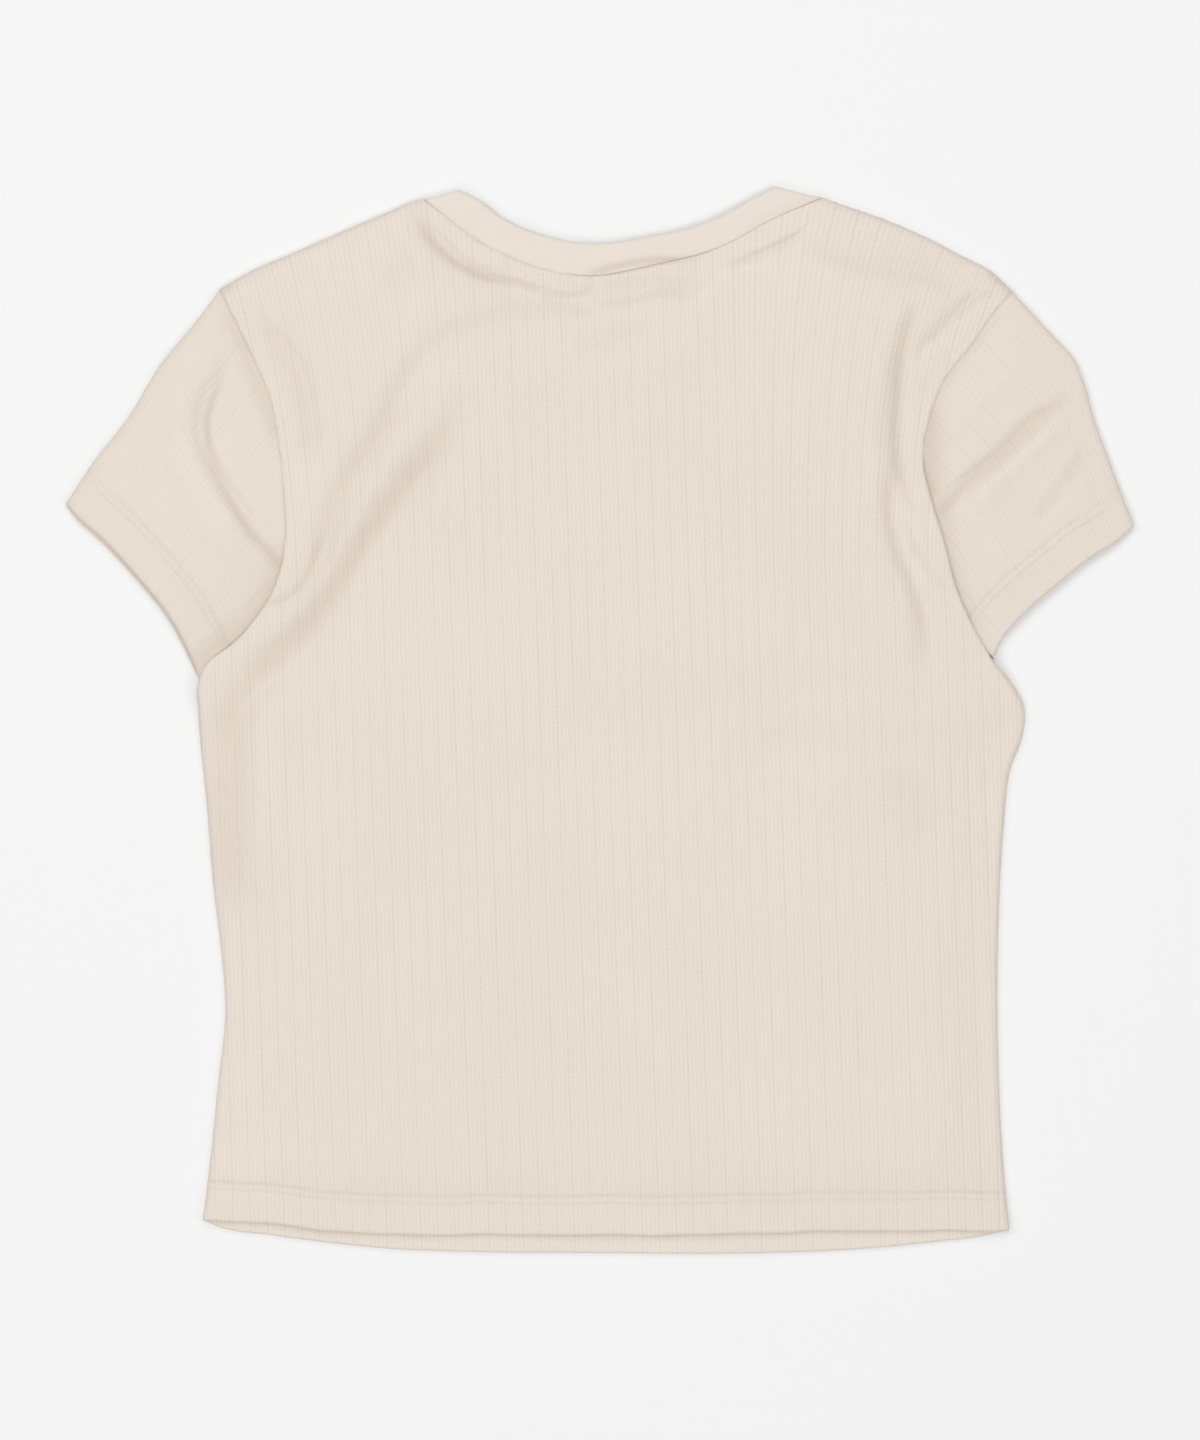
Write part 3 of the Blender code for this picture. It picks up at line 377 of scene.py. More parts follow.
# How finely the pieces are divided. The rows are in millimetres from an edge or a hem.
CURVE_STEP = 3.6
SPAN_STEPS = 17
SHORTEST_STEP = 0.4
COLUMNS_PER_RIB = 8
NARROWEST_COLUMN = 1e-4
MARGIN = 15.0
GRID_ROUNDS = 25
INNER_COLUMN = 8.0
BACK_EDGE_ROWS = (0.0, 0.25, 0.7, 1.3, 2.0, 3.2)
BACK_HEM_ROWS = (5.5, 9.0, 12.5, 14.8, 15.6, 16.3, 17.1, 18.2, 19.2, 20.0, 20.8, 21.7, 24.0)
BACK_ROW_SPANS = ((28.0, 230.0, 7.0), (232.0, 456.0, 2.0), (456.0, 476.5, 0.85))
BACK_ROW_END = 480.0
FRONT_ROWS = (0.0, 0.25, 0.6, 1.1, 1.8, 3.0, 5.0, 8.0, 12.0, 16.0, 19.0, 22.0, 30.0, 50.0, 90.0, 140.0, 190.0,
              230.0, 260.0, 290.0, 320.0, 350.0, 380.0, 400.0, 415.0, 425.0, 430.0)
FRONT_INNER_COLUMNS = 40
END_ROWS = (0.0, 0.25, 0.7, 1.3, 2.1, 3.2)
UNDER_ROWS = (0.5, 1.4, 3.0)
BAND_END_ROWS = (0.0, 0.2, 0.5, 0.9, 1.5, 2.3)
EVEN_START = 1.2         # even steps start at this many times the last of the finer ones
SLEEVE_UNDER_COLUMNS = 24
SLEEVE_ROWS = 84
SLEEVE_INNER_ROWS = 24
BAND_COLUMNS = 300
BAND_UNDER_COLUMNS = 90
BAND_ROWS = 14
BAND_INNER_ROWS = 5

CREASE = 40.0            # edges sharper than this many degrees aren't smoothed over
NO_TRIANGLES = np.zeros((0, 3), int)

# Stitches: their rings and the points on each, how much the tips narrow, how high the thread lies, and the
# shares of a hem or cuff between which a row runs, with the number of points on its line
STITCH_RINGS = 5
STITCH_SIDES = 6
STITCH_TAPER = 0.97
STITCH_RISE = 0.45
HEM_STITCHED = (0.012, 0.988, 220)
CUFF_STITCHED = (0.06, 0.94, 90)

# The knit materials. Sizes are in metres, and the other values are shares.
RIB_GROUP = "Needle Drop Rib"
YARN_GROUP = "Soft Yarn"
# A look's last value is painted shade in the valleys between the fine ribs, by their height
KnitLook = namedtuple("KnitLook", "line_dark eyelet_dark eyelet_depth fine_height fine_dark")
RIB_LOOK = KnitLook(0.009, 0.016, 0.4, 0.00008, 0.055)
BAND_LOOK = KnitLook(0.0, 0.0, 0.0, 0.00004, 0.02)
STRAY_SCALE = 260.0
STRAY = 0.0007
EYELET_CORE = 0.00035
EYELET_EDGE = 0.0011
LOOP_LEAN = 0.35
LOOP_HEIGHT = 0.12
MEAN_HEIGHT = 0.64
FUZZ_SCALE = 1400.0
FUZZ_DETAIL = 3.0
FUZZ_SHADE = 0.10
FUZZ_HEIGHT = 0.8
DRIFT_SCALE = 14.0
DRIFT_DETAIL = 2.0
DRIFT_SHADE = 0.05
CLOTH_ROUGHNESS = 0.92
CLOTH_SPECULAR = 0.2
CLOTH_SHEEN = 0.12
SHEEN_ROUGHNESS = 0.6
MIX_COLOUR_INPUTS = (0, 6, 7)
MIX_COLOUR_OUTPUT = 2
PLY_SCALE = 900.0
PLY_HEIGHT = 0.00006
PLY_SHADE = 0.06

# The stage, in metres and degrees, with each side lamp's heading and its share of the side lamps' power
FLOOR_REACH = 6.0
FLOOR_DROP = 0.0002
LAMP_DISTANCE = 3.0
TOP_LAMP_SIZE = 1.6
SIDE_LAMP_SIZE = 1.4
SIDE_LAMPS = (("lamp_left", 160.0, 1.12), ("lamp_top", 80.0, 1.1), ("lamp_right", -20.0, 0.89),
              ("lamp_bottom", -110.0, 0.89))
SENSOR_WIDTH = 36.0


def smooth(t):
    """An S curve: 0 below 0, 1 above 1, and t squared times (3 - 2t) between."""
    t = np.clip(t, 0.0, 1.0)
    return t * t * (3.0 - 2.0 * t)


def arc(t):
    """A quarter circle's height: 0 at 0, 1 from 1 on, and the root of 1 - (1 - t) squared between."""
    return np.sqrt(1.0 - (1.0 - np.clip(t, 0.0, 1.0)) ** 2)


def path_length(line):
    """Length of a polyline: the sum of its steps' lengths."""
    return np.linalg.norm(np.diff(line, axis=0), axis=1).sum()


def along(line, share):
    """Points at the given shares of a polyline's length, by linear interpolation."""
    run = np.concatenate([[0.0], np.cumsum(np.linalg.norm(np.diff(line, axis=0), axis=1))])
    at = np.asarray(share) * run[-1]
    return np.stack([np.interp(at, run, line[:, axis]) for axis in range(line.shape[1])], axis=-1)


def curve(points, step=CURVE_STEP):
    """A cubic through the points, each span with end slopes from the neighbours, divided evenly."""
    p = np.array(points, float)
    knot = np.concatenate([[0.0], np.cumsum(np.linalg.norm(np.diff(p, axis=0), axis=1))])
    slope = np.gradient(p, knot, axis=0)
    t = np.linspace(0.0, 1.0, SPAN_STEPS)[None, :-1, None]
    length = np.diff(knot)[:, None, None]
    a, b = p[:-1, None], p[1:, None]
    da, db = slope[:-1, None] * length, slope[1:, None] * length
    span = (a * (1 + 2 * t) * (1 - t) ** 2 + da * t * (1 - t) ** 2
            + b * t * t * (3 - 2 * t) + db * t * t * (t - 1))
    fine = np.vstack([span.reshape(-1, 2), p[-1:]])
    return along(fine, np.linspace(0.0, 1.0, max(1, round(path_length(fine) / step)) + 1))


def beside(line, distance):
    """The polyline moved to its left by the distance, along the normal of its central slope."""
    run = np.gradient(line, axis=0)
    run /= np.linalg.norm(run, axis=1)[:, None]
    return line + distance * np.stack([-run[:, 1], run[:, 0]], axis=1)


def joined(*lines):
    """Polylines laid end to end as one, without points that repeat."""
    line = np.vstack(lines)
    keep = np.concatenate([[True], np.linalg.norm(np.diff(line, axis=0), axis=1) > SHORTEST_STEP])
    return line[keep]


def nearest(x, y, line):
    """Distance to a polyline, the side (above 0 is left) and the share of its length.

    A running minimum over the line's segments of the distance to the foot point, clamped to each."""
    best = np.full(x.shape, np.inf)
    side, share = np.zeros(x.shape), np.zeros(x.shape)
    run = np.diff(line, axis=0)
    size = np.linalg.norm(run, axis=1)
    start = np.concatenate([[0.0], np.cumsum(size)])
    for corner, step, length, begin in zip(line[:-1], run, size, start):
        rx, ry = x - corner[0], y - corner[1]
        t = np.clip((rx * step[0] + ry * step[1]) / length ** 2, 0.0, 1.0)
        gap = (rx - t * step[0]) ** 2 + (ry - t * step[1]) ** 2
        closer = gap < best
        best[closer] = gap[closer]
        side[closer] = (step[0] * ry - step[1] * rx)[closer]
        share[closer] = ((begin + t * length) / start[-1])[closer]
    return np.sqrt(best), side, share


def edge_distance(x, y, *lines):
    """Distance to the nearest of several polylines."""
    return np.min([nearest(x, y, line)[0] for line in lines], axis=0)


def from_edges(x, y, *names):
    """Distance to the nearest of the named edges."""
    return edge_distance(x, y, *(EDGES[name] for name in names))


def bell(away, form):
    """A bell: its height times e to the minus square of the distance over its reach."""
    return form.height * np.exp(-(away / form.reach) ** 2)


def two_rows(away, forms):
    """The bells of both stitched rows, at their distances from a turned-up edge."""
    return bell(away - HEM_DEPTH, forms[0]) + bell(away - SECOND_ROW, forms[1])


def above_hem(x, y, hem):
    """How far a point lies above the hem, straight up."""
    return y - np.interp(x, hem[:, 0], hem[:, 1])


def fold_height(x, y, folds):
    """The folds added up: each a bell across its path, fading by an S curve at both ends."""
    total = np.zeros(x.shape)
    for fold in folds:
        away, side, share = nearest(x, y, curve(fold.path, FOLD_STEP))
        ends = smooth(np.minimum(share, 1 - share) / FOLD_END)
        total += ends * bell(away, Bell(fold.height, np.where(side > 0, fold.left, fold.right)))
    return total


def body_rib(x, y):
    """Rib coordinate of the body: x plus a lean with y, less a pull towards the shoulders.

    The pull grows as the square of the height above its start."""
    up = np.clip((y - PULL_START_Y) / PULL_HEIGHT, 0.0, None) ** 2
    left = LEFT_PULL * np.clip((-x - PULL_START_X) / PULL_WIDTH, 0.0, None) * up
    right = RIGHT_PULL * np.clip((x - PULL_START_X) / PULL_WIDTH, 0.0, None) * up
    return x + BODY_LEAN * y + left - right


def scatter(number):
    """An even spread of values from 0 to 1 over whole numbers: the fraction of a large multiple of a sine."""
    return (np.sin(number * SCATTER_SCALE + SCATTER_SHIFT) * SCATTER_SPREAD) % 1.0


def line_strength(rib, run, knit):
    """How strongly each dropped needle shows as a line and as eyelets, and how strongly the fine ribs do.

    Each is a base plus a spread that differs from line to line, times two sine waves along the line."""
    number = np.floor(rib / (knit.rib_pitch / MM))
    start = 2 * np.pi * scatter(number + LINE_START_SEED)
    (slow, slow_length), (quick, quick_length) = LINE_WAVES
    wave = (LINE_WAVE_MEAN + slow * np.sin(run / slow_length + start)
            + quick * np.sin(run / quick_length + 2.0 * start))
    strength = (LINE_BASE + LINE_SPREAD * scatter(number)) * np.clip(wave, *LINE_WAVE_RANGE)
    dotted = scatter(number + DOTTED_SEED)
    return np.stack([strength * (SOLID_SHARE[0] + SOLID_SHARE[1] * (1.0 - dotted)),
                     strength * (DOTTED_SHARE[0] + DOTTED_SHARE[1] * dotted),
                     RIB_SHARE[0] + RIB_SHARE[1] * wave])


def rib_relief(rib, knit):
    """Height over a rib's repeat: a cosine's crown between dropped needles, less a bell's groove on each."""
    pitch = knit.rib_pitch / MM
    off = ((rib / pitch) % 1.0 - 0.5) * pitch
    crown = 0.5 - 0.5 * np.cos(2 * np.pi * off / pitch)
    return CROWN_OF_RIB * crown - bell(off, Bell(knit.groove_depth / MM, knit.groove_width / MM))


def waves(x, y, table):
    """Sine waves added up: each a height times the sine of x and y over its lengths plus its start."""
    return sum(wave.height * np.sin(x / wave.x_length + y / wave.y_length + wave.start) for wave in table)


def shirt_edges():
    """The plan curves that the pieces share, the sewn ones drawn back by half the gap at a seam."""
    plain = {
        "back_hem": BACK_HEM, "front_hem": FRONT_HEM, "left_side": LEFT_SIDE, "right_side": RIGHT_SIDE,
        "left_overlap": LEFT_OVERLAP, "right_overlap": RIGHT_OVERLAP,
        "left_shoulder": LEFT_SHOULDER, "right_shoulder": RIGHT_SHOULDER,
    }
    sewn = {
        "left_armhole": (LEFT_ARMHOLE, -1), "right_armhole": (RIGHT_ARMHOLE, 1),
        "left_hidden": (LEFT_HIDDEN_SEAM, 1), "right_hidden": (RIGHT_HIDDEN_SEAM, -1),
        "left_underarm": (LEFT_UNDERARM, 1), "right_underarm": (RIGHT_UNDERARM, -1),
        "back_neck": (BACK_NECK, -1), "front_neck": (FRONT_NECK, -1),
    }
    edges = {name: curve(points) for name, points in plain.items()}
    edges.update({name: beside(curve(points), side * VISIBLE_GAP) for name, (points, side) in sewn.items()})
    hem = edges["back_hem"]
    hem[1:-1, 1] += waves(hem[1:-1, 0], 0.0, HEM_WOBBLE)
    return edges


EDGES = shirt_edges()
FOLDED_EDGES = ("left_side", "right_side", "left_shoulder", "right_shoulder")
OVERLAPS = ("left_overlap", "right_overlap")
ARMHOLES = ("left_armhole", "right_armhole")


def hem_share(x, y, hem):
    """1 on the turned-up hem and 0 above it, by an S curve across the step."""
    return smooth((HEM_DEPTH + HEM_STEP - above_hem(x, y, hem)) / (2 * HEM_STEP))


def overlap_lift(x, y):
    """How far the body is raised where it folds over the sleeves: flat at the edge, sloping off inside."""
    lift = np.zeros(x.shape)
    for path in OVERLAPS:
        away, _, share = nearest(x, y, EDGES[path])
        across = 1.0 - smooth((away - OVERLAP_FLAT) / (OVERLAP_RUN - OVERLAP_FLAT))
        lift = np.maximum(lift, OVERLAP_LIFT * across * smooth((1.0 - share) / OVERLAP_END))
    return lift


def back_inside(x, y):
    """Inner face of the upper layer: the lower layer's top, a crown growing inwards, folds and overlaps."""
    edge = from_edges(x, y, "back_hem", "back_neck", *FOLDED_EDGES, *OVERLAPS, *ARMHOLES)
    folds = (fold_height(x, y, BACK_FOLDS) + waves(x, y, UNEVENNESS)) * smooth(edge / FOLD_FADE)
    rest = WALL + HEM_LIFT * hem_share(x, y, EDGES["front_hem"]) + SEAM_GAP
    return rest + np.maximum(CROWN * smooth(edge / CROWN_RUN) + folds, 0.0) + overlap_lift(x, y)


def ledge(x, y, line, height):
    """A strip that stands proud above a line and ends in a step below it: an S curve over a short run."""
    away, side, share = nearest(x, y, line)
    ends = smooth(np.minimum(share, 1 - share) / LEDGE_END)
    return height * ends * smooth(np.where(side > 0, away, -away) / LEDGE_RUN + 0.5)


def neck_allowance(x, y):
    """The seam allowance pressed under the neck seam: a low step along two lines, and a notch between."""
    near = smooth((NECK_ALLOWANCE - from_edges(x, y, "back_neck")) / NECK_FADE)
    step = np.maximum(ledge(x, y, curve(NECK_LEDGE), NECK_LIFT),
                      ledge(x, y, curve(NECK_LEDGE_RIGHT), RIGHT_NECK_LIFT))
    return step * near - bell(x - NOTCH_X, NOTCH) * near


def back_outside(x, y, inside, knit):
    """Outer face of the upper layer: the inner face plus the wall and its ribs, rounded off at every edge."""
    fold_edge, hem_edge = from_edges(x, y, *FOLDED_EDGES), from_edges(x, y, "back_hem")
    over_edge, seam_edge = from_edges(x, y, *OVERLAPS), from_edges(x, y, *ARMHOLES, "back_neck")
    rib = body_rib(x, y)
    relief = (rib_relief(rib, knit) * line_strength(rib, y, knit)[0]
              * smooth(np.minimum(seam_edge, fold_edge) / RIB_FADE))
    full = (inside + WALL + HEM_LIFT * hem_share(x, y, EDGES["back_hem"]) + neck_allowance(x, y)
            + fold_height(x, y, FINE_FOLDS) * smooth(seam_edge / RIB_FADE) + relief
            - two_rows(above_hem(x, y, EDGES["back_hem"]), HEM_ROW_DENTS)
            - bell(nearest(x, y, curve(SIDE_SEAM))[0], SIDE_GROOVE))
    open_edge = np.min([hem_edge, over_edge, seam_edge], axis=0)
    low = inside + (LOW_EDGE - inside) * smooth(open_edge / LOW_EDGE_RUN)
    return np.min([
        low + (full - low) * arc(fold_edge / FOLD_RADIUS),
        inside + HEM_LIP + (full - inside - HEM_LIP) * arc(hem_edge / HEM_RADIUS),
        inside + OVERLAP_LIP + (full - inside - OVERLAP_LIP) * arc(over_edge / OVERLAP_RADIUS),
        full - SEAM_DROP * (1.0 - smooth(seam_edge / SEAM_RADIUS)),
    ], axis=0)


def waxing(run, form):
    """A mean plus a quick sine wave, bent by a longer one, plus a slow one, along a seam."""
    quick = np.sin(run / form.quick_length + form.bend * np.sin(run / form.bend_length))
    return form.mean + form.quick * quick + form.slow * np.sin(run / form.slow_length)


def seam_shade(x, y, line, form):
    """A bell of painted shade along a seam, which waxes and wanes along it."""
    away, _, share = nearest(x, y, line)
    return bell(away, form) * waxing(share * path_length(line), SEAM_WAXING)


def back_shade(x, y):
    """The back panel's painted shade: in its folds, at its edges, in its seams and in its stitched rows'
    dents.
    """
    return (fold_height(x, y, BACK_SHADES)
            + bell(from_edges(x, y, "left_shoulder", "right_shoulder"), SHOULDER_SHADE)
            + bell(from_edges(x, y, "left_side", "right_side"), SIDE_SHADE)
            + seam_shade(x, y, EDGES["left_armhole"], ARMHOLE_SHADE)
            + seam_shade(x, y, EDGES["right_armhole"], ARMHOLE_SHADE)
            + seam_shade(x, y, EDGES["back_neck"], NECK_SHADE)
            + two_rows(above_hem(x, y, EDGES["back_hem"]), HEM_ROW_SHADES))


def front_shade(x, y):
    """The front panel's painted shadow: a soft band just below the back hem's edge, which waxes and wanes."""
    away, side, share = nearest(x, y, EDGES["back_hem"])
    below = bell(np.where(side < 0, away, 0.0), UNDER_HEM_SHADE)
    return below * waxing(share * path_length(EDGES["back_hem"]), HEM_WAXING)


def sleeve_shade(x, y, cut):
    """A sleeve's painted shade: in its folds, at its edges and cuff, in its seam and stitched rows' dents."""
    armhole, under, top, cuff, _ = sleeve_lines(cut)
    to_cuff = nearest(x, y, cuff)[0]
    return (fold_height(x, y, cut.shades) + bell(edge_distance(x, y, top, under), SLEEVE_EDGE_SHADE)
            + bell(to_cuff, CUFF_SHADE["left" if cut.side < 0 else "right"])
            + seam_shade(x, y, armhole, ARMHOLE_SHADE) + two_rows(to_cuff, CUFF_ROW_SHADES))


def row_heights():
    """Shares of the way from hem to neck: fine at both edges and at the stitching, coarse below the waist."""
    spans = [np.arange(*span) for span in BACK_ROW_SPANS]
    last = BACK_ROW_END - np.array(BACK_EDGE_ROWS[::-1])
    return np.concatenate([BACK_EDGE_ROWS, BACK_HEM_ROWS, *spans, last]) / BACK_ROW_END


def panel_grid(sides, ends, rows, columns, margin=MARGIN):
    """Plan points of a panel, rows x columns.

    A row at share t lies that share of the way from the hem to the top edge. Its columns lie at
    fixed rib coordinates, and within the margin at either side they close up evenly onto the
    outline. x is found from the rib coordinate by repeated correction."""
    hem, top = ends

    def height(x, t):
        low = np.interp(x, hem[:, 0], hem[:, 1])
        return low + t * (np.interp(x, top[:, 0], top[:, 1]) - low)

    def side_at(line):
        low = np.interp(line[:, 0], hem[:, 0], hem[:, 1])
        reach = (line[:, 1] - low) / (np.interp(line[:, 0], top[:, 0], top[:, 1]) - low)
        reach = np.maximum.accumulate(reach)
        reach[0], reach[-1] = 0.0, 1.0
        return np.interp(rows, reach, line[:, 0])

    x_left, x_right = side_at(sides[0]), side_at(sides[1])
    left = body_rib(x_left, height(x_left, rows))[:, None]
    right = body_rib(x_right, height(x_right, rows))[:, None]
    first, last = left.min(), right.max()
    wanted = first + (last - first) * columns[None]
    start = left + (wanted - first) * margin / (left + margin - first)
    finish = right - (last - wanted) * margin / (last - right + margin)
    rib = np.where(wanted < left + margin, start, np.where(wanted > right - margin, finish, wanted))
    t = rows[:, None]
    x = rib.copy()
    for _ in range(GRID_ROUNDS):
        x += rib - body_rib(x, height(x, t))
    x[:, 0], x[:, -1] = x_left, x_right
    return x, height(x, t), first, last


def rib_columns(sides, ends, rows, knit):
    """Shares across a panel at which columns lie on the ribs, with both sides' own and none too narrow."""
    _, _, first, last = panel_grid(sides, ends, rows, np.array([0.0, 1.0]))
    pitch = knit.rib_pitch / MM
    per_rib = COLUMNS_PER_RIB
    on_rib = np.arange(np.ceil(first / pitch * per_rib), last / pitch * per_rib) / per_rib
    columns = np.concatenate([[0.0], (on_rib * pitch - first) / (last - first), [1.0]])
    return columns[np.concatenate([[True], np.diff(columns) > NARROWEST_COLUMN])]


def thinned(columns, count):
    """About as many of the columns as the count says, evenly chosen, with both outer ones."""
    return columns[np.unique(np.linspace(0, len(columns) - 1, count).astype(int))]


def body_uv(points):
    """Knit coordinates on the body: the rib coordinate and y."""
    return np.stack([body_rib(points[:, 0], points[:, 1]), points[:, 1]], axis=-1)


def grid_quads(rows, wide, begin=0):
    """Quads over a grid of points that are numbered row by row."""
    row, spot = np.meshgrid(np.arange(rows - 1), np.arange(wide - 1), indexing="ij")
    a = begin + row * wide + spot
    return np.stack([a, a + 1, a + 1 + wide, a + wide], axis=-1).reshape(-1, 4)


def zipped(fine, coarse):
    """Triangles between two runs of points with unlike counts: a fine edge takes the nearest coarse point."""
    share = (np.arange(len(fine) - 1) + 0.5) / (len(fine) - 1)
    partner = np.clip(np.round(share * (len(coarse) - 1)).astype(int), 0, len(coarse) - 1)
    partner[0], partner[-1] = 0, len(coarse) - 1
    first = np.stack([fine[:-1], fine[1:], coarse[partner]], axis=-1)
    change = np.searchsorted(partner, np.arange(1, len(coarse)))
    second = np.stack([fine[change], coarse[1:], coarse[:-1]], axis=-1)
    return np.vstack([first, second])


def closed_sheet(upper, lower):
    """A closed shell from a fine upper grid and a coarse lower one with as many rows.

    It has quads on both faces and down both sides, and zipped triangles along both ends."""
    rows, wide, narrow = upper.shape[0], upper.shape[1], lower.shape[1]
    shift = rows * wide
    over = np.arange(shift).reshape(rows, wide)
    under = shift + np.arange(rows * narrow).reshape(rows, narrow)
    left = np.stack([over[:-1, 0], over[1:, 0], under[1:, 0], under[:-1, 0]], axis=-1)
    right = np.stack([over[1:, -1], over[:-1, -1], under[:-1, -1], under[1:, -1]], axis=-1)
    quads = np.vstack([grid_quads(rows, wide), grid_quads(rows, narrow, shift)[:, ::-1], left, right])
    ends = np.vstack([zipped(over[0], under[0])[:, ::-1], zipped(over[-1], under[-1])])
    return np.vstack([upper.reshape(-1, 3), lower.reshape(-1, 3)]), quads, ends


def signed_volume(points, quads, ends):
    """Volume by the divergence theorem: a sixth of the triple product of each triangle's corners."""
    a, b, c = points[np.vstack([quads[:, :3], quads[:, [0, 2, 3]], ends])].transpose(1, 0, 2)
    return np.einsum("ij,ij->", a, np.cross(b, c)) / 6.0


def add_piece(name, shell, material, shade=0.0, strength=(0.0, 0.0, 1.0)):
    """Puts a shell into a mesh, facing out, with its knit coordinates as a UV map in metres and painted
    shade.

    The strength is that of the lines and eyelets of its dropped needles and of its fine ribs."""
    points, quads, ends, knit_uv = shell
    if signed_volume(points, quads, ends) < 0:
        quads, ends = quads[:, ::-1], ends[:, ::-1]
    mesh = bpy.data.meshes.new(name)
    mesh.from_pydata((points * MM).tolist(), [], quads.tolist() + ends.tolist())
    corner = np.empty(len(mesh.loops), dtype=np.int32)
    mesh.loops.foreach_get("vertex_index", corner)
    mesh.uv_layers.new(name="Knit").data.foreach_set("uv", (knit_uv[corner] * MM).ravel())
    # Shade holds the painted shade at each point
    for label, value in zip(("Shade", "Lines", "Dots", "Ribs"), (shade, *strength)):
        mesh.attributes.new(label, "FLOAT", "POINT").data.foreach_set("value", np.zeros(len(points)) + value)
    mesh.materials.append(material)
    mesh.shade_smooth()
    mesh.set_sharp_from_angle(angle=np.radians(CREASE))
    piece = bpy.data.objects.new(name, mesh)
    bpy.context.scene.collection.objects.link(piece)
    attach(piece, "root")
    return piece


def plan(shell):
    """X and y of a shell's points."""
    return shell[0][:, 0], shell[0][:, 1]


def back_panel_shell(knit):
    """The back panel's outer grid with columns on the ribs, and its coarser inner grid."""
    sides = [joined(*(EDGES[f"{side}_{name}"] for name in ("side", "overlap", "armhole")))
             for side in ("left", "right")]
    ends = EDGES["back_hem"], joined(EDGES["left_shoulder"], EDGES["back_neck"], EDGES["right_shoulder"])
    rows = row_heights()
    columns = rib_columns(sides, ends, rows, knit)
    x, y, first, last = panel_grid(sides, ends, rows, columns)
    outer = np.stack([x, y, back_outside(x, y, back_inside(x, y), knit)], axis=-1)
    x, y, _, _ = panel_grid(sides, ends, rows, thinned(columns, round((last - first) / INNER_COLUMN)))
    inside = back_inside(x, y)
    skin = back_outside(x, y, inside, knit)
    z = np.minimum(np.maximum(np.minimum(inside, skin - LEAST_WALL), LOWEST_INSIDE), skin - THINNEST_WALL)
    points, quads, caps = closed_sheet(outer, np.stack([x, y, z], axis=-1))
    return points, quads, caps, body_uv(points)


def front_panel_shell(knit):
    """The front panel: fine rows only on the strip that shows below the back hem.

    Above the hem its sides are drawn in under the folded edge by an exponential of the distance to it."""
    sides = [joined(EDGES[f"{side}_side"], EDGES[f"{side}_underarm"][::-1], EDGES[f"{side}_hidden"][::-1],
                    EDGES[f"{side}_armhole"]) for side in ("left", "right")]
    ends = EDGES["front_hem"], joined(EDGES["left_shoulder"], EDGES["front_neck"], EDGES["right_shoulder"])
    rows = np.array(FRONT_ROWS) / FRONT_ROWS[-1]
    columns = rib_columns(sides, ends, rows, knit)

    def drawn_in(shares):
        x, y, _, _ = panel_grid(sides, ends, rows, shares)
        fold_edge, up = from_edges(x, y, *FOLDED_EDGES), from_edges(x, y, "front_hem")
        inset = UNDER_INSET * np.exp(-(fold_edge / UNDER_REACH)) * smooth((up - UNDER_START) / UNDER_RUN)
        return x - np.sign(x) * inset, y, fold_edge, up

    x, y, fold_edge, up = drawn_in(columns)
    full = (WALL + HEM_LIFT * hem_share(x, y, EDGES["front_hem"])
            + rib_relief(body_rib(x, y), knit) * FRONT_RELIEF)
    z = LOW_EDGE + (full - LOW_EDGE) * arc(up / FRONT_HEM_RADIUS) * arc(
        (fold_edge + FRONT_FOLD_START) / FRONT_FOLD_RADIUS)
    outer = np.stack([x, y, z], axis=-1)
    x, y, _, _ = drawn_in(thinned(columns, FRONT_INNER_COLUMNS))
    points, quads, caps = closed_sheet(outer, np.stack([x, y, np.zeros(x.shape)], axis=-1))
    return points, quads, caps, body_uv(points)


def patch(start, end, first_side, last_side, tilt=None):
    """A four-sided plan patch: its two ends and two sides blended linearly, less the blend of its corners.

    With a tilt, in degrees from straight down, shares across the start are even steps across that
    direction, mixed with a little of the curve's own length, so that lines from start to end run with
    the grain and never turn back. Otherwise they follow the curve."""
    corners = start[0], start[-1], end[0], end[-1]

    def on_start(share):
        if tilt is None:
            return along(start, share)
        across = start @ np.array([-np.cos(np.radians(tilt)), -np.sin(np.radians(tilt))])
        length = np.concatenate([[0.0], np.cumsum(np.linalg.norm(np.diff(start, axis=0), axis=1))])
        reach = (GRAIN_SHARE * (across - across[0]) / (across[-1] - across[0])
                 + (1.0 - GRAIN_SHARE) * length / length[-1])
        return np.stack([np.interp(share, reach, start[:, axis]) for axis in (0, 1)], axis=-1)

    def at(across, down):
        across, down = across[None, :, None], down[:, None, None]
        ends = (1 - down) * on_start(across[0, :, 0])[None] + down * along(end, across[0, :, 0])[None]
        sides = (1 - across) * along(first_side, down[:, 0, 0])[:, None] + across * along(
            last_side, down[:, 0, 0])[:, None]
        flat = ((1 - across) * (1 - down) * corners[0] + across * (1 - down) * corners[1]
                + (1 - across) * down * corners[2] + across * down * corners[3])
        return ends + sides - flat

    return at


def end_shares(run, count, near=END_ROWS):
    """Shares from 0 to 1 in even steps, with finer ones in the last millimetres at both ends."""
    close = np.array(near) / run
    middle = np.linspace(0.0, 1.0, count + 1)
    start = close[-1] * EVEN_START
    middle = middle[(middle > start) & (middle < 1 - start)]
    return np.concatenate([close, middle, 1.0 - close[::-1]])


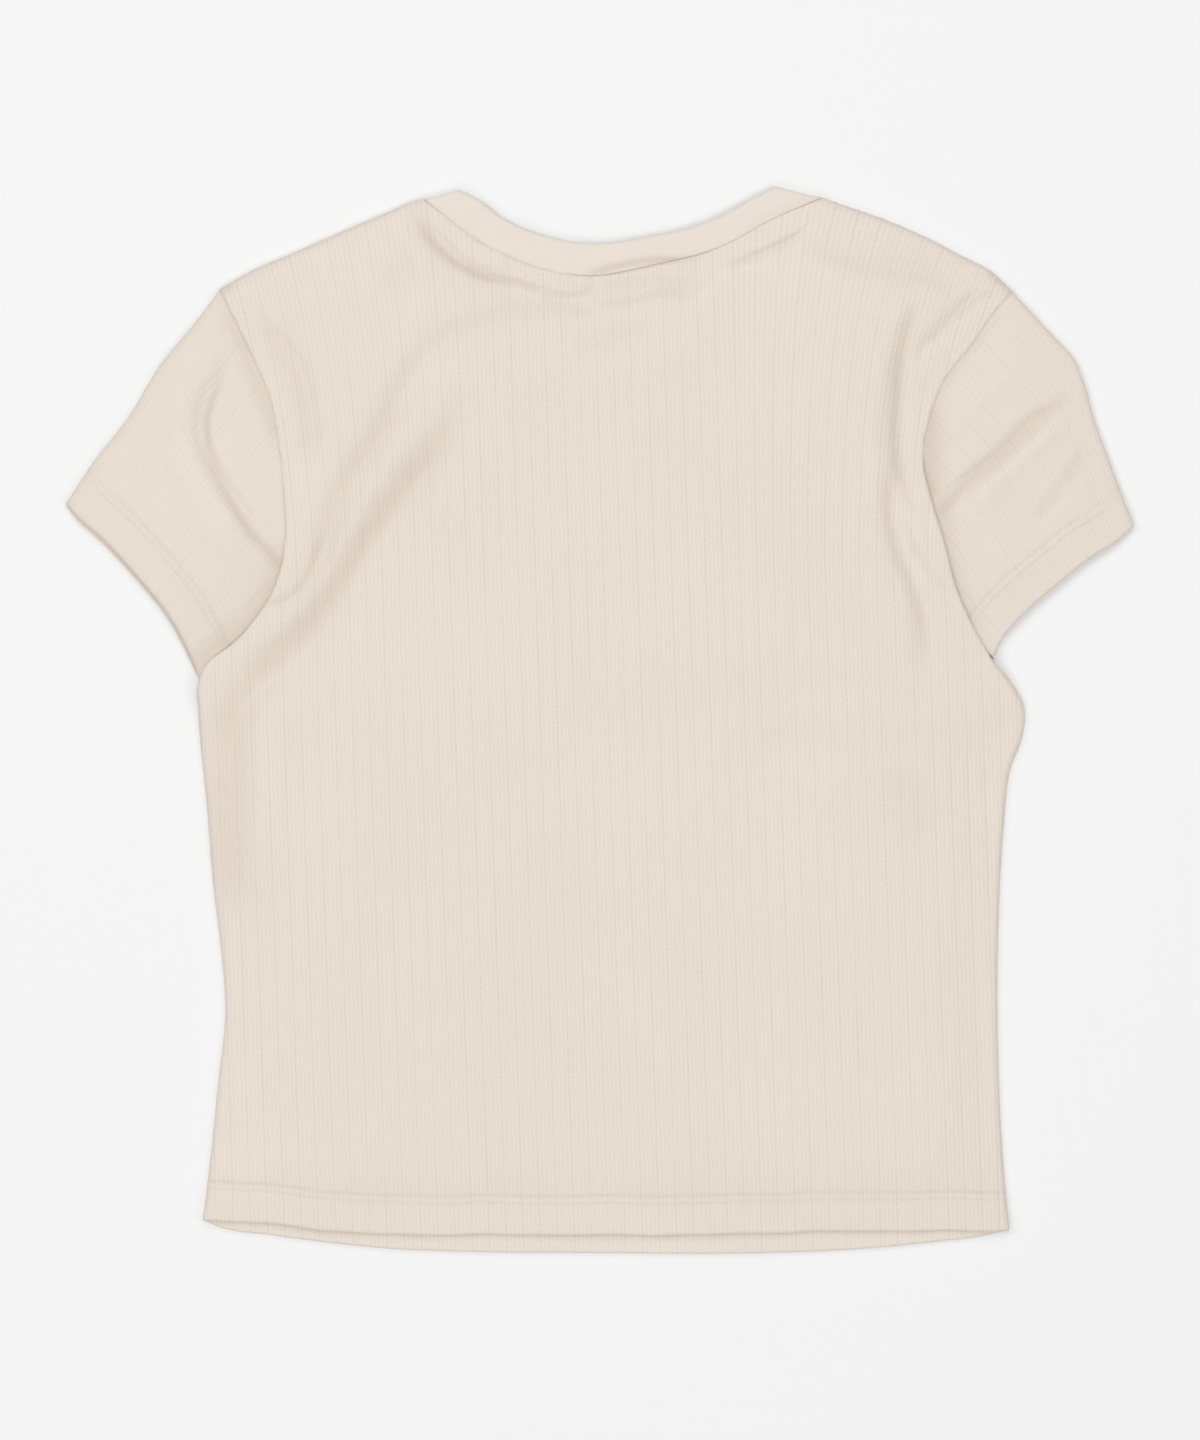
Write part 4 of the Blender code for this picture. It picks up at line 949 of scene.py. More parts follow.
def tube_shell(upper, lower, faces, shares, rows, inner_rows, tuck):
    """A tube pressed flat, as a closed shell.

    A ring runs over the upper patch and back under the lower one. Outer rings go down the tube and
    inner rings, drawn in by the tuck at both folds, come back up inside. faces gives the heights."""
    over, under = shares

    def rings(down, outside):
        low, high = (0.0, 1.0) if outside else (tuck, 1.0 - tuck)
        above = upper(low + (high - low) * over, down)
        below = lower(low + (high - low) * under, down)
        top_z, low_z = faces(above, below, down, outside)
        ring = np.concatenate([np.dstack([above, top_z]), np.dstack([below, low_z])], axis=1)
        across = np.concatenate([over, under])[None].repeat(len(down), axis=0)
        return ring, np.dstack([across, down[:, None].repeat(ring.shape[1], axis=1)])

    outer, outer_uv = rings(rows, True)
    inner, inner_uv = rings(inner_rows[::-1], False)
    ring, uv = np.concatenate([outer, inner]), np.concatenate([outer_uv, inner_uv])
    total, size = ring.shape[:2]
    row, spot = np.meshgrid(np.arange(total), np.arange(size), indexing="ij")
    next_row, next_spot = (row + 1) % total, (spot + 1) % size
    quads = np.stack([row * size + spot, next_row * size + spot, next_row * size + next_spot,
                      row * size + next_spot], axis=-1).reshape(-1, 4)
    return ring.reshape(-1, 3), quads, NO_TRIANGLES, uv.reshape(-1, 2)


def tube_under(beneath, *folds):
    """Height of a pressed tube's underside: on the ground, and up to its folds by a quarter circle."""
    fold = edge_distance(beneath[..., 0], beneath[..., 1], *folds)
    return TUBE_RISE * (1.0 - arc(fold / TUBE_RADIUS))


SleeveCut = namedtuple("SleeveCut", "seam hidden underarm top cuff cuff_under folds shades tilt side")
SLEEVES = {
    "left": SleeveCut(LEFT_ARMHOLE, LEFT_HIDDEN_SEAM, LEFT_UNDERARM, LEFT_SLEEVE_TOP, LEFT_CUFF,
                      LEFT_CUFF_UNDER, LEFT_SLEEVE_FOLDS, LEFT_SLEEVE_SHADES, LEFT_SLEEVE_TILT, -1),
    "right": SleeveCut(RIGHT_ARMHOLE, RIGHT_HIDDEN_SEAM, RIGHT_UNDERARM, RIGHT_SLEEVE_TOP, RIGHT_CUFF,
                       RIGHT_CUFF_UNDER, RIGHT_SLEEVE_FOLDS, RIGHT_SLEEVE_SHADES, RIGHT_SLEEVE_TILT, 1),
}


SleeveLines = namedtuple("SleeveLines", "armhole under top cuff cuff_under")


def sleeve_lines(cut):
    """The plan lines of a sleeve, from the armhole's top to the cuff's underarm corner."""
    gap = cut.side * VISIBLE_GAP
    armhole = joined(beside(curve(cut.seam)[::-1], gap), beside(curve(cut.hidden), gap))
    under = beside(curve(cut.underarm), gap)
    top, cuff, cuff_under = curve(cut.top), curve(cut.cuff), curve(cut.cuff_under)
    under[0] = armhole[-1]
    top[0] = armhole[0]
    cuff[0] = cuff_under[0] = top[-1]
    cuff[-1] = cuff_under[-1] = under[-1]
    return SleeveLines(armhole, under, top, cuff, cuff_under)


def sleeve_inside(x, y, cut, lines):
    """Inner face of a sleeve's upper layer: the lower layer's top, a crown that grows inwards, and folds."""
    armhole, under, top, cuff, _ = lines
    edge = edge_distance(x, y, armhole, top, under, EDGES[OVERLAPS[cut.side > 0]])
    near_cuff = smooth(nearest(x, y, cuff)[0] / CUFF_CROWN_RUN)
    crown = SLEEVE_CROWN * smooth(edge / SLEEVE_CROWN_RUN) * (CUFF_CROWN + (1.0 - CUFF_CROWN) * near_cuff)
    folds = fold_height(x, y, cut.folds) + SLEEVE_UNEVENNESS * waves(x, y, UNEVENNESS)
    return WALL + SEAM_GAP + np.maximum(crown + folds * smooth(edge / FOLD_FADE), 0.0)


def sleeve_outside(x, y, inside, rib, lines, knit):
    """Outer face of a sleeve's upper layer: wall, turned-up cuff, stitching and ribs, with round edges."""
    armhole, under, top, cuff, _ = lines
    to_cuff = nearest(x, y, cuff)[0]
    to_seam = nearest(x, y, armhole)[0]
    to_fold = edge_distance(x, y, top, under)
    turned = smooth((HEM_DEPTH - to_cuff) / (2 * HEM_STEP))
    full = (inside + WALL + HEM_LIFT * turned - two_rows(to_cuff, CUFF_ROW_DENTS)
            + SLEEVE_RELIEF * rib_relief(rib, knit) * smooth(to_seam / RIB_FADE))
    middle = 0.5 * (inside + WALL) - SLEEVE_SINK
    return np.min([
        middle + (full - middle) * arc(to_fold / SLEEVE_RADIUS),
        inside + HEM_LIP + (full - inside - HEM_LIP) * arc(to_cuff / HEM_RADIUS),
        full - SEAM_DROP * (1.0 - smooth(to_seam / SEAM_RADIUS)),
    ], axis=0)


def sleeve_shell(cut, knit):
    """A sleeve as a pressed tube whose upper columns lie on its ribs."""
    lines = sleeve_lines(cut)
    armhole, under, top, cuff, cuff_under = lines
    upper = patch(armhole, cuff, top, under, cut.tilt)
    lower = patch(armhole, cuff_under, top, under)
    ribs = round(path_length(cuff) / (knit.rib_pitch / MM))
    over = end_shares(path_length(cuff), ribs * COLUMNS_PER_RIB)
    below = end_shares(path_length(cuff), SLEEVE_UNDER_COLUMNS, UNDER_ROWS)[::-1]
    pitch = knit.rib_pitch / MM

    def faces(above, beneath, down, outside):
        inside = sleeve_inside(above[..., 0], above[..., 1], cut, lines)
        if not outside:
            return inside, np.full(beneath.shape[:2], WALL)
        rib = np.broadcast_to(over * ribs * pitch, inside.shape)
        top_z = sleeve_outside(above[..., 0], above[..., 1], inside, rib, lines, knit)
        return top_z, tube_under(beneath, top, under)

    rows = end_shares(path_length(top), SLEEVE_ROWS)
    points, quads, caps, uv = tube_shell(upper, lower, faces, (over, below), rows,
                                         np.linspace(0.0, 1.0, SLEEVE_INNER_ROWS), WALL / path_length(cuff))
    return points, quads, caps, uv * np.array([ribs * pitch, path_length(top)])


def neckband_shell():
    """The neckband as a pressed tube: its back half on top and its deeper front half below."""
    back = beside(curve(BACK_NECK), VISIBLE_GAP)
    front = beside(curve(FRONT_NECK), VISIBLE_GAP)
    front[0], front[-1] = back[0], back[-1]
    left, right = curve(LEFT_BAND_FOLD), curve(RIGHT_BAND_FOLD)
    left[0], right[0] = back[0], back[-1]
    edge = curve(BACK_BAND_EDGE)
    upper, lower = patch(back, edge, left, right), patch(front, curve(FRONT_BAND_EDGE), left, right)
    over = end_shares(path_length(back), BAND_COLUMNS)
    below = end_shares(path_length(front), BAND_UNDER_COLUMNS, UNDER_ROWS)[::-1]

    def faces(above, beneath, down, outside):
        if not outside:
            return np.full(above.shape[:2], WALL + SEAM_GAP), np.full(beneath.shape[:2], WALL)
        x, y = above[..., 0], above[..., 1]
        first, second = BAND_RIPPLE_LENGTHS
        ripple = BAND_RIPPLE * np.sin(x / first + BAND_RIPPLE_START) * np.sin(x / second)
        full = WALL + SEAM_GAP + BAND_WALL + BAND_CROWN + ripple
        to_fold = edge_distance(x, y, edge, left, right)
        top_z = np.minimum(full - SEAM_DROP * (1.0 - smooth(nearest(x, y, back)[0] / SEAM_RADIUS)),
                           BAND_MIDDLE + (full - BAND_MIDDLE) * arc(to_fold / BAND_RADIUS))
        return top_z, tube_under(beneath, left, right)

    rows = end_shares(BAND_RUN, BAND_ROWS, BAND_END_ROWS)
    points, quads, caps, uv = tube_shell(upper, lower, faces, (over, below), rows,
                                         np.linspace(0.0, 1.0, BAND_INNER_ROWS), WALL / path_length(back))
    return points, quads, caps, uv * np.array([path_length(back), BAND_DEPTH])


def stitch_run(line, height, knit):
    """Stitches along a plan line: small capsules, end to end with gaps, that follow the cloth's height.

    A capsule is a few rings, whose radii are the thread's times the root of 1 less the squared place."""
    count = int(path_length(line) / (knit.stitch_pitch / MM))
    share = (np.arange(count) + 0.5) / count
    reach = 0.5 * knit.stitch_length / knit.stitch_pitch / count
    places = np.linspace(-1.0, 1.0, STITCH_RINGS)
    at = along(line, share[:, None] + reach * places)
    run = np.gradient(at, axis=1)
    run /= np.linalg.norm(run, axis=2)[..., None]
    centre = np.dstack([at, height(at[..., 0], at[..., 1])])[:, :, None]
    across = np.dstack([-run[..., 1], run[..., 0], np.zeros(run.shape[:2])])[:, :, None]
    thread = knit.thread_radius / MM
    radius = (thread * np.sqrt(1.0 - STITCH_TAPER * places ** 2))[None, :, None, None]
    turn = (np.arange(STITCH_SIDES) * 2 * np.pi / STITCH_SIDES)[None, None, :, None]
    ring = centre + across * (radius * np.cos(turn)) + np.array([0, 0, 1.0]) * (radius * np.sin(turn))
    ring[..., 2] += thread * STITCH_RISE
    size = STITCH_SIDES
    first = np.arange(count)[:, None, None] * STITCH_RINGS * size
    row, spot = np.meshgrid(np.arange(STITCH_RINGS - 1), np.arange(size), indexing="ij")
    a, b = first + row * size + spot, first + row * size + (spot + 1) % size
    quads = np.stack([a, a + size, b + size, b], axis=-1).reshape(-1, 4)
    cap, last = np.array([[0, 1, 2, 3], [0, 3, 4, 5]]), (STITCH_RINGS - 1) * size
    caps = (first + np.concatenate([cap, last + cap[:, ::-1]])).reshape(-1, 4)
    return ring.reshape(-1, 3), np.vstack([quads, caps])


def stitched_rows(lines, height, knit):
    """The shell of several rows of stitches, with their plan as knit coordinates."""
    runs = [stitch_run(line, height, knit) for line in lines]
    shift = np.cumsum([0] + [len(points) for points, _ in runs[:-1]])
    points = np.vstack([points for points, _ in runs])
    quads = np.vstack([quads + begin for (_, quads), begin in zip(runs, shift)])
    return points, quads, NO_TRIANGLES, points[:, :2]


# Shader node groups. Each puts out only values, colours and heights.


def feed(tree, socket, value):
    """Gives a socket its value: a link from another socket, or a plain number or colour."""
    if isinstance(value, bpy.types.NodeSocket):
        tree.links.new(value, socket)
    else:
        socket.default_value = value


def math_node(tree, operation, *values):
    """A Math node whose inputs are sockets or plain numbers."""
    node = tree.nodes.new("ShaderNodeMath")
    node.operation = operation
    for socket, value in zip(node.inputs, values):
        feed(tree, socket, value)
    return node.outputs[0]


def product(tree, first, second):
    """A Math node that multiplies."""
    return math_node(tree, "MULTIPLY", first, second)


def centred(tree, value, middle, size):
    """A value less its middle, times a size."""
    return product(tree, math_node(tree, "SUBTRACT", value, middle), size)


def noise_node(tree, scale, detail, vector):
    """The value of a Noise texture."""
    node = tree.nodes.new("ShaderNodeTexNoise")
    for name, value in (("Scale", scale), ("Detail", detail), ("Vector", vector)):
        feed(tree, node.inputs[name], value)
    return node.outputs["Fac"]


def bump_node(tree, height, distance, shader):
    """Turns a height into the shader's normal."""
    bump = tree.nodes.new("ShaderNodeBump")
    bump.inputs["Distance"].default_value = distance
    tree.links.new(height, bump.inputs["Height"])
    tree.links.new(bump.outputs["Normal"], shader.inputs["Normal"])


def step_node(tree, value, low, high, to_low, to_high):
    """A smooth step of a value from one amount to another between low and high."""
    node = tree.nodes.new("ShaderNodeMapRange")
    node.interpolation_type = "SMOOTHSTEP"
    for name, amount in (("Value", value), ("From Min", low), ("From Max", high), ("To Min", to_low),
                         ("To Max", to_high)):
        feed(tree, node.inputs[name], amount)
    return node.outputs["Result"]


def new_group(name, inputs, outputs):
    """An empty node group with named sockets, and its two end nodes."""
    tree = bpy.data.node_groups.new(name, "ShaderNodeTree")
    for label, kind in inputs:
        tree.interface.new_socket(name=label, in_out="INPUT", socket_type=kind)
    for label, kind in outputs:
        tree.interface.new_socket(name=label, in_out="OUTPUT", socket_type=kind)
    return tree, tree.nodes.new("NodeGroupInput"), tree.nodes.new("NodeGroupOutput")


def needle_drop_group():
    """Needle-drop rib: fine ribs, a line on each dropped needle, and the eyelets that its ladder leaves."""
    number = "NodeSocketFloat"
    tree, given, made = new_group(
        RIB_GROUP,
        (("Knit", "NodeSocketVector"), ("Pitch", number), ("Fine Ribs", number), ("Eyelet Pitch", number),
         ("Line Width", number), ("Course Height", number), ("Eyelet Depth", number)),
        (("Line", number), ("Eyelets", number), ("Height", number)))
    split = tree.nodes.new("ShaderNodeSeparateXYZ")
    tree.links.new(given.outputs["Knit"], split.inputs[0])
    shift = centred(tree, noise_node(tree, STRAY_SCALE, 1.0, given.outputs["Knit"]), 0.5, STRAY)
    u = math_node(tree, "DIVIDE", math_node(tree, "ADD", split.outputs["X"], shift), given.outputs["Pitch"])
    off = math_node(tree, "ABSOLUTE", math_node(tree, "SUBTRACT", math_node(tree, "FRACT", u), 0.5))
    away = product(tree, off, given.outputs["Pitch"])
    line = step_node(tree, away, 0.0, given.outputs["Line Width"], 1.0, 0.0)
    v = math_node(tree, "DIVIDE", math_node(tree, "ADD", split.outputs["Y"], shift),
                  given.outputs["Eyelet Pitch"])
    along_v = centred(tree, math_node(tree, "FRACT", v), 0.5, given.outputs["Eyelet Pitch"])
    round_off = math_node(tree, "SQRT", math_node(tree, "ADD", product(tree, away, away),
                                                  product(tree, along_v, along_v)))
    eyelets = step_node(tree, round_off, EYELET_CORE, EYELET_EDGE, 1.0, 0.0)
    turns = product(tree, product(tree, u, given.outputs["Fine Ribs"]), np.pi)
    fine = math_node(tree, "ABSOLUTE", math_node(tree, "SINE", turns))
    courses = math_node(tree, "DIVIDE", split.outputs["Y"], given.outputs["Course Height"])
    courses = math_node(tree, "ADD", courses, product(tree, fine, LOOP_LEAN))
    loops = math_node(tree, "SINE", product(tree, courses, 2 * np.pi))
    height = math_node(tree, "ADD", fine, product(tree, loops, LOOP_HEIGHT))
    height = math_node(tree, "SUBTRACT", height, product(tree, eyelets, given.outputs["Eyelet Depth"]))
    tree.links.new(line, made.inputs["Line"])
    tree.links.new(eyelets, made.inputs["Eyelets"])
    tree.links.new(height, made.inputs["Height"])
    return tree


def yarn_group():
    """Soft yarn: fine fuzz in height, and a slow drift in shade."""
    number = "NodeSocketFloat"
    tree, given, made = new_group(YARN_GROUP, (("Vector", "NodeSocketVector"), ("Fuzz Scale", number)),
                                  (("Fuzz", number), ("Shade", number)))
    fuzz = noise_node(tree, given.outputs["Fuzz Scale"], FUZZ_DETAIL, given.outputs["Vector"])
    drift = noise_node(tree, DRIFT_SCALE, DRIFT_DETAIL, given.outputs["Vector"])
    tree.links.new(fuzz, made.inputs["Fuzz"])
    tree.links.new(drift, made.inputs["Shade"])
    return tree


def place_group(tree, name, make, **values):
    """A node that uses the group, made if it isn't there yet, with the given numbers on its inputs."""
    node = tree.nodes.new("ShaderNodeGroup")
    node.node_tree = bpy.data.node_groups.get(name) or make()
    for label, value in values.items():
        node.inputs[label.replace("_", " ").title()].default_value = value
    return node


def cloth_material(name, colour):
    """A soft matt cloth: a Principled shader with sheen, waiting for its knit."""
    made = bpy.data.materials.new(name)
    made.use_nodes = True
    shader = made.node_tree.nodes["Principled BSDF"]
    shader.inputs["Roughness"].default_value = CLOTH_ROUGHNESS
    shader.inputs["Specular IOR Level"].default_value = CLOTH_SPECULAR
    shader.inputs["Sheen Weight"].default_value = CLOTH_SHEEN
    shader.inputs["Sheen Roughness"].default_value = SHEEN_ROUGHNESS
    shader.inputs["Base Color"].default_value = (*colour, 1.0)
    made.diffuse_color = (*colour, 1.0)
    return made, made.node_tree, shader


def attribute_node(tree, label):
    """A value that the piece's mesh holds at each point."""
    node = tree.nodes.new("ShaderNodeAttribute")
    node.attribute_name = label
    return node.outputs["Fac"]


def mixed_colour(tree, blend, factor, first, second):
    """A Mix node for colours, each of them a socket or a plain colour."""
    node = tree.nodes.new("ShaderNodeMix")
    node.data_type = "RGBA"
    node.blend_type = blend
    node.clamp_factor = False
    for place, value in zip(MIX_COLOUR_INPUTS, (factor, first, second)):
        feed(tree, node.inputs[place], value)
    return node.outputs[MIX_COLOUR_OUTPUT]


def scaled_colour(tree, colour, factor):
    """A colour times a varying factor."""
    return mixed_colour(tree, "MULTIPLY", 1.0, colour, factor)


def shaded_colour(tree, colour, shade):
    """A colour darkened by painted shade, and warmed: less of its blue is left than of its red."""
    deep = (*(part * left for part, left in zip(colour, SHADE_LEFT)), 1.0)
    factor = product(tree, shade, 1.0 / (1.0 - SHADE_LEFT[1]))
    return mixed_colour(tree, "MIX", factor, (*colour, 1.0), deep)


def knit_material(name, colour, knit, pitch, look):
    """Cloth with the needle-drop rib on its knit coordinates and the yarn on its object's, made once."""
    if name in bpy.data.materials:
        return bpy.data.materials[name]
    made, tree, shader = cloth_material(name, colour)
    uv = tree.nodes.new("ShaderNodeUVMap")
    uv.uv_map = "Knit"
    place = tree.nodes.new("ShaderNodeTexCoord")
    ribs = place_group(tree, RIB_GROUP, needle_drop_group, pitch=pitch, fine_ribs=float(knit.fine_ribs),
                       eyelet_pitch=knit.eyelet_pitch, line_width=knit.line_width,
                       course_height=knit.course_height, eyelet_depth=look.eyelet_depth)
    tree.links.new(uv.outputs["UV"], ribs.inputs["Knit"])
    yarn = place_group(tree, YARN_GROUP, yarn_group, fuzz_scale=FUZZ_SCALE)
    tree.links.new(place.outputs["Object"], yarn.inputs["Vector"])
    lines = product(tree, ribs.outputs["Line"], attribute_node(tree, "Lines"))
    dots = product(tree, ribs.outputs["Eyelets"], attribute_node(tree, "Dots"))
    dark = math_node(tree, "ADD", product(tree, lines, look.line_dark), product(tree, dots, look.eyelet_dark))
    # painted shade in the valleys between the fine ribs, by their height
    between = product(tree, math_node(tree, "SUBTRACT", MEAN_HEIGHT, ribs.outputs["Height"]),
                      product(tree, attribute_node(tree, "Ribs"), look.fine_dark))
    soft = centred(tree, yarn.outputs["Shade"], 0.5, DRIFT_SHADE)
    speck = centred(tree, yarn.outputs["Fuzz"], 0.5, FUZZ_SHADE)
    factor = math_node(tree, "SUBTRACT", math_node(tree, "ADD", math_node(tree, "ADD", soft, speck), 1.0),
                       math_node(tree, "ADD", dark, between))
    # the piece's painted shade, darker and warmer deep in its folds, seams and edges
    warm = shaded_colour(tree, colour, attribute_node(tree, "Shade"))
    tree.links.new(scaled_colour(tree, warm, factor), shader.inputs["Base Color"])
    height = math_node(tree, "ADD", ribs.outputs["Height"], product(tree, yarn.outputs["Fuzz"], FUZZ_HEIGHT))
    bump_node(tree, height, look.fine_height, shader)
    return made


def thread_material(colour):
    """Sewing thread: two plies twisted round each other, as a slanting wave in its height."""
    made, tree, shader = cloth_material("cream_thread", colour)
    place = tree.nodes.new("ShaderNodeTexCoord")
    wave = tree.nodes.new("ShaderNodeTexWave")
    wave.bands_direction = "DIAGONAL"
    wave.inputs["Scale"].default_value = PLY_SCALE
    tree.links.new(place.outputs["Object"], wave.inputs["Vector"])
    bump_node(tree, wave.outputs["Fac"], PLY_HEIGHT, shader)
    # painted shade in the grooves between the plies, where the wave is low
    factor = math_node(tree, "ADD", product(tree, wave.outputs["Fac"], PLY_SHADE), 1.0 - PLY_SHADE)
    tree.links.new(scaled_colour(tree, (*colour, 1.0), factor), shader.inputs["Base Color"])
    return made


def rib_knit(knit):
    """The material of the body and sleeves."""
    return knit_material("cream_rib_knit", knit.colour, knit, knit.rib_pitch, RIB_LOOK)


def band_knit(knit):
    """The material of the neckband: the same yarn in a plain fine rib."""
    return knit_material("cream_band_knit", knit.band_colour, knit, knit.fine_ribs * knit.band_rib, BAND_LOOK)


class TShirtKnit(bpy.types.PropertyGroup):
    """Sizes and colours of the knit and its thread."""

    rib_pitch: bpy.props.FloatProperty(
        name="Rib Pitch", description="Distance between two dropped needles", default=8.5 * MM, unit="LENGTH")
    fine_ribs: bpy.props.IntProperty(
        name="Fine Ribs", description="Fine ribs in each repeat, the dropped needle's included", default=4)
    groove_depth: bpy.props.FloatProperty(
        name="Groove Depth", description="How deep a dropped needle lies below the ribs", default=0.09 * MM,
        unit="LENGTH")
    groove_width: bpy.props.FloatProperty(
        name="Groove Width", description="Reach of the groove on either side of a dropped needle",
        default=0.75 * MM, unit="LENGTH")
    line_width: bpy.props.FloatProperty(
        name="Line Width", description="Reach of the shaded line along a dropped needle", default=1.0 * MM,
        unit="LENGTH")
    eyelet_pitch: bpy.props.FloatProperty(
        name="Eyelet Pitch", description="Distance between eyelets along a dropped needle", default=2.76 * MM,
        unit="LENGTH")
    course_height: bpy.props.FloatProperty(
        name="Course Height", description="Height of one row of knit loops", default=0.92 * MM, unit="LENGTH")
    band_rib: bpy.props.FloatProperty(
        name="Band Rib", description="Distance between two ribs of the neckband", default=1.4 * MM,
        unit="LENGTH")
    stitch_pitch: bpy.props.FloatProperty(
        name="Stitch Pitch", description="Distance from one stitch to the next", default=3.1 * MM,
        unit="LENGTH")
    stitch_length: bpy.props.FloatProperty(
        name="Stitch Length", description="Length of the thread that shows in each stitch", default=2.5 * MM,
        unit="LENGTH")
    thread_radius: bpy.props.FloatProperty(
        name="Thread Radius", description="Half the thickness of the sewing thread", default=0.16 * MM,
        unit="LENGTH")
    colour: bpy.props.FloatVectorProperty(
        name="Knit Colour", description="Colour of the rib knit", default=(0.757, 0.681, 0.602), size=3,
        subtype="COLOR", min=0.0, max=1.0)
    band_colour: bpy.props.FloatVectorProperty(
        name="Band Colour", description="Colour of the neckband", default=(0.775, 0.700, 0.623), size=3,
        subtype="COLOR", min=0.0, max=1.0)
    thread_colour: bpy.props.FloatVectorProperty(
        name="Thread Colour", description="Colour of the sewing thread", default=(0.78, 0.705, 0.62), size=3,
        subtype="COLOR", min=0.0, max=1.0)


class TShirtStage(bpy.types.PropertyGroup):
    """The floor, the light and the camera."""

    floor_colour: bpy.props.FloatVectorProperty(
        name="Floor Colour", description="Colour of the surface that the shirt lies on",
        default=(0.86, 0.86, 0.86), size=3, subtype="COLOR", min=0.0, max=1.0)
    lamp_power: bpy.props.FloatProperty(
        name="Lamp Power", description="Power of the large soft lamp overhead", default=25.0, unit="POWER")
    side_power: bpy.props.FloatProperty(
        name="Side Power", description="Power of each of the four soft lamps round the shirt", default=21.8,
        unit="POWER")
    side_elevation: bpy.props.FloatProperty(
        name="Side Elevation", description="Angle that the side lamps stand above the floor",
        default=np.radians(38.0), subtype="ANGLE")
    sky_strength: bpy.props.FloatProperty(
        name="Sky Strength", description="Brightness of the even light from all round", default=0.24)
    camera_height: bpy.props.FloatProperty(
        name="Camera Height", description="Height of the camera straight above the shirt", default=2.0,
        unit="LENGTH")
    camera_lens: bpy.props.FloatProperty(
        name="Camera Lens", description="Focal length in millimetres", default=100.0, unit="CAMERA")


class TSHIRT_OT_back_panel(bpy.types.Operator):
    """Make the back panel, which lies on top and folds over the sleeves at the underarms"""

    bl_idname = "tshirt.back_panel"
    bl_label = "Back Panel"

    def execute(self, context):
        knit = context.scene.tshirt_knit
        shell = back_panel_shell(knit)
        piece = add_piece("back_panel_knit", shell, rib_knit(knit), back_shade(*plan(shell)),
                          line_strength(*shell[-1].T, knit))
        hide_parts("back_panel")
        return {"FINISHED"}


class TSHIRT_OT_front_panel(bpy.types.Operator):
    """Make the front panel, which lies underneath and shows its hem below the back one's"""

    bl_idname = "tshirt.front_panel"
    bl_label = "Front Panel"

    def execute(self, context):
        knit = context.scene.tshirt_knit
        shell = front_panel_shell(knit)
        piece = add_piece("front_panel_knit", shell, rib_knit(knit), front_shade(*plan(shell)),
                          line_strength(*shell[-1].T, knit))
        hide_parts("front_panel")
        return {"FINISHED"}


class TSHIRT_OT_sleeves(bpy.types.Operator):
    """Make both sleeves, pressed flat"""

    bl_idname = "tshirt.sleeves"
    bl_label = "Sleeves"

    def execute(self, context):
        knit = context.scene.tshirt_knit
        for side, cut in SLEEVES.items():
            shell = sleeve_shell(cut, knit)
            piece = add_piece(f"sleeve_{side}_knit", shell, rib_knit(knit),
                              sleeve_shade(*plan(shell), cut),
                              SLEEVE_STRENGTH * line_strength(*shell[-1].T, knit))
            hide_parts(f"sleeve_{side}")
        return {"FINISHED"}


class TSHIRT_OT_neckband(bpy.types.Operator):
    """Make the neckband, pressed flat"""

    bl_idname = "tshirt.neckband"
    bl_label = "Neckband"

    def execute(self, context):
        shell = neckband_shell()
        x, y = plan(shell)
        # painted shade in the band's folds and along its seam
        shade = fold_height(x, y, NECKBAND_SHADES) + seam_shade(x, y, EDGES["back_neck"], NECK_SHADE)
        knit = band_knit(context.scene.tshirt_knit)
        piece = add_piece("neckband_fine_knit", shell, knit, shade)
        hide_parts("neckband")
        return {"FINISHED"}


class TSHIRT_OT_stitches(bpy.types.Operator):
    """Sew the two rows of stitches along the hem and along each cuff"""

    bl_idname = "tshirt.stitches"
    bl_label = "Stitches"

    def execute(self, context):
        knit = context.scene.tshirt_knit
        thread = thread_material(knit.thread_colour)

        def on_back(x, y):
            return back_outside(x, y, back_inside(x, y), knit)

        rows = [along(EDGES["back_hem"], np.linspace(*HEM_STITCHED)) + np.array([0.0, up])
                for up in (HEM_DEPTH, SECOND_ROW)]
        add_piece("hem_stitches", stitched_rows(rows, on_back, knit), thread)
        for side, cut in SLEEVES.items():
            lines = sleeve_lines(cut)

            def on_sleeve(x, y):
                inside = sleeve_inside(x, y, cut, lines)
                return sleeve_outside(x, y, inside, np.zeros(x.shape), lines, knit)

            rows = [along(beside(lines.cuff, -cut.side * up), np.linspace(*CUFF_STITCHED))
                    for up in (HEM_DEPTH, SECOND_ROW)]
            add_piece(f"cuff_stitches_{side}", stitched_rows(rows, on_sleeve, knit), thread)
        return {"FINISHED"}


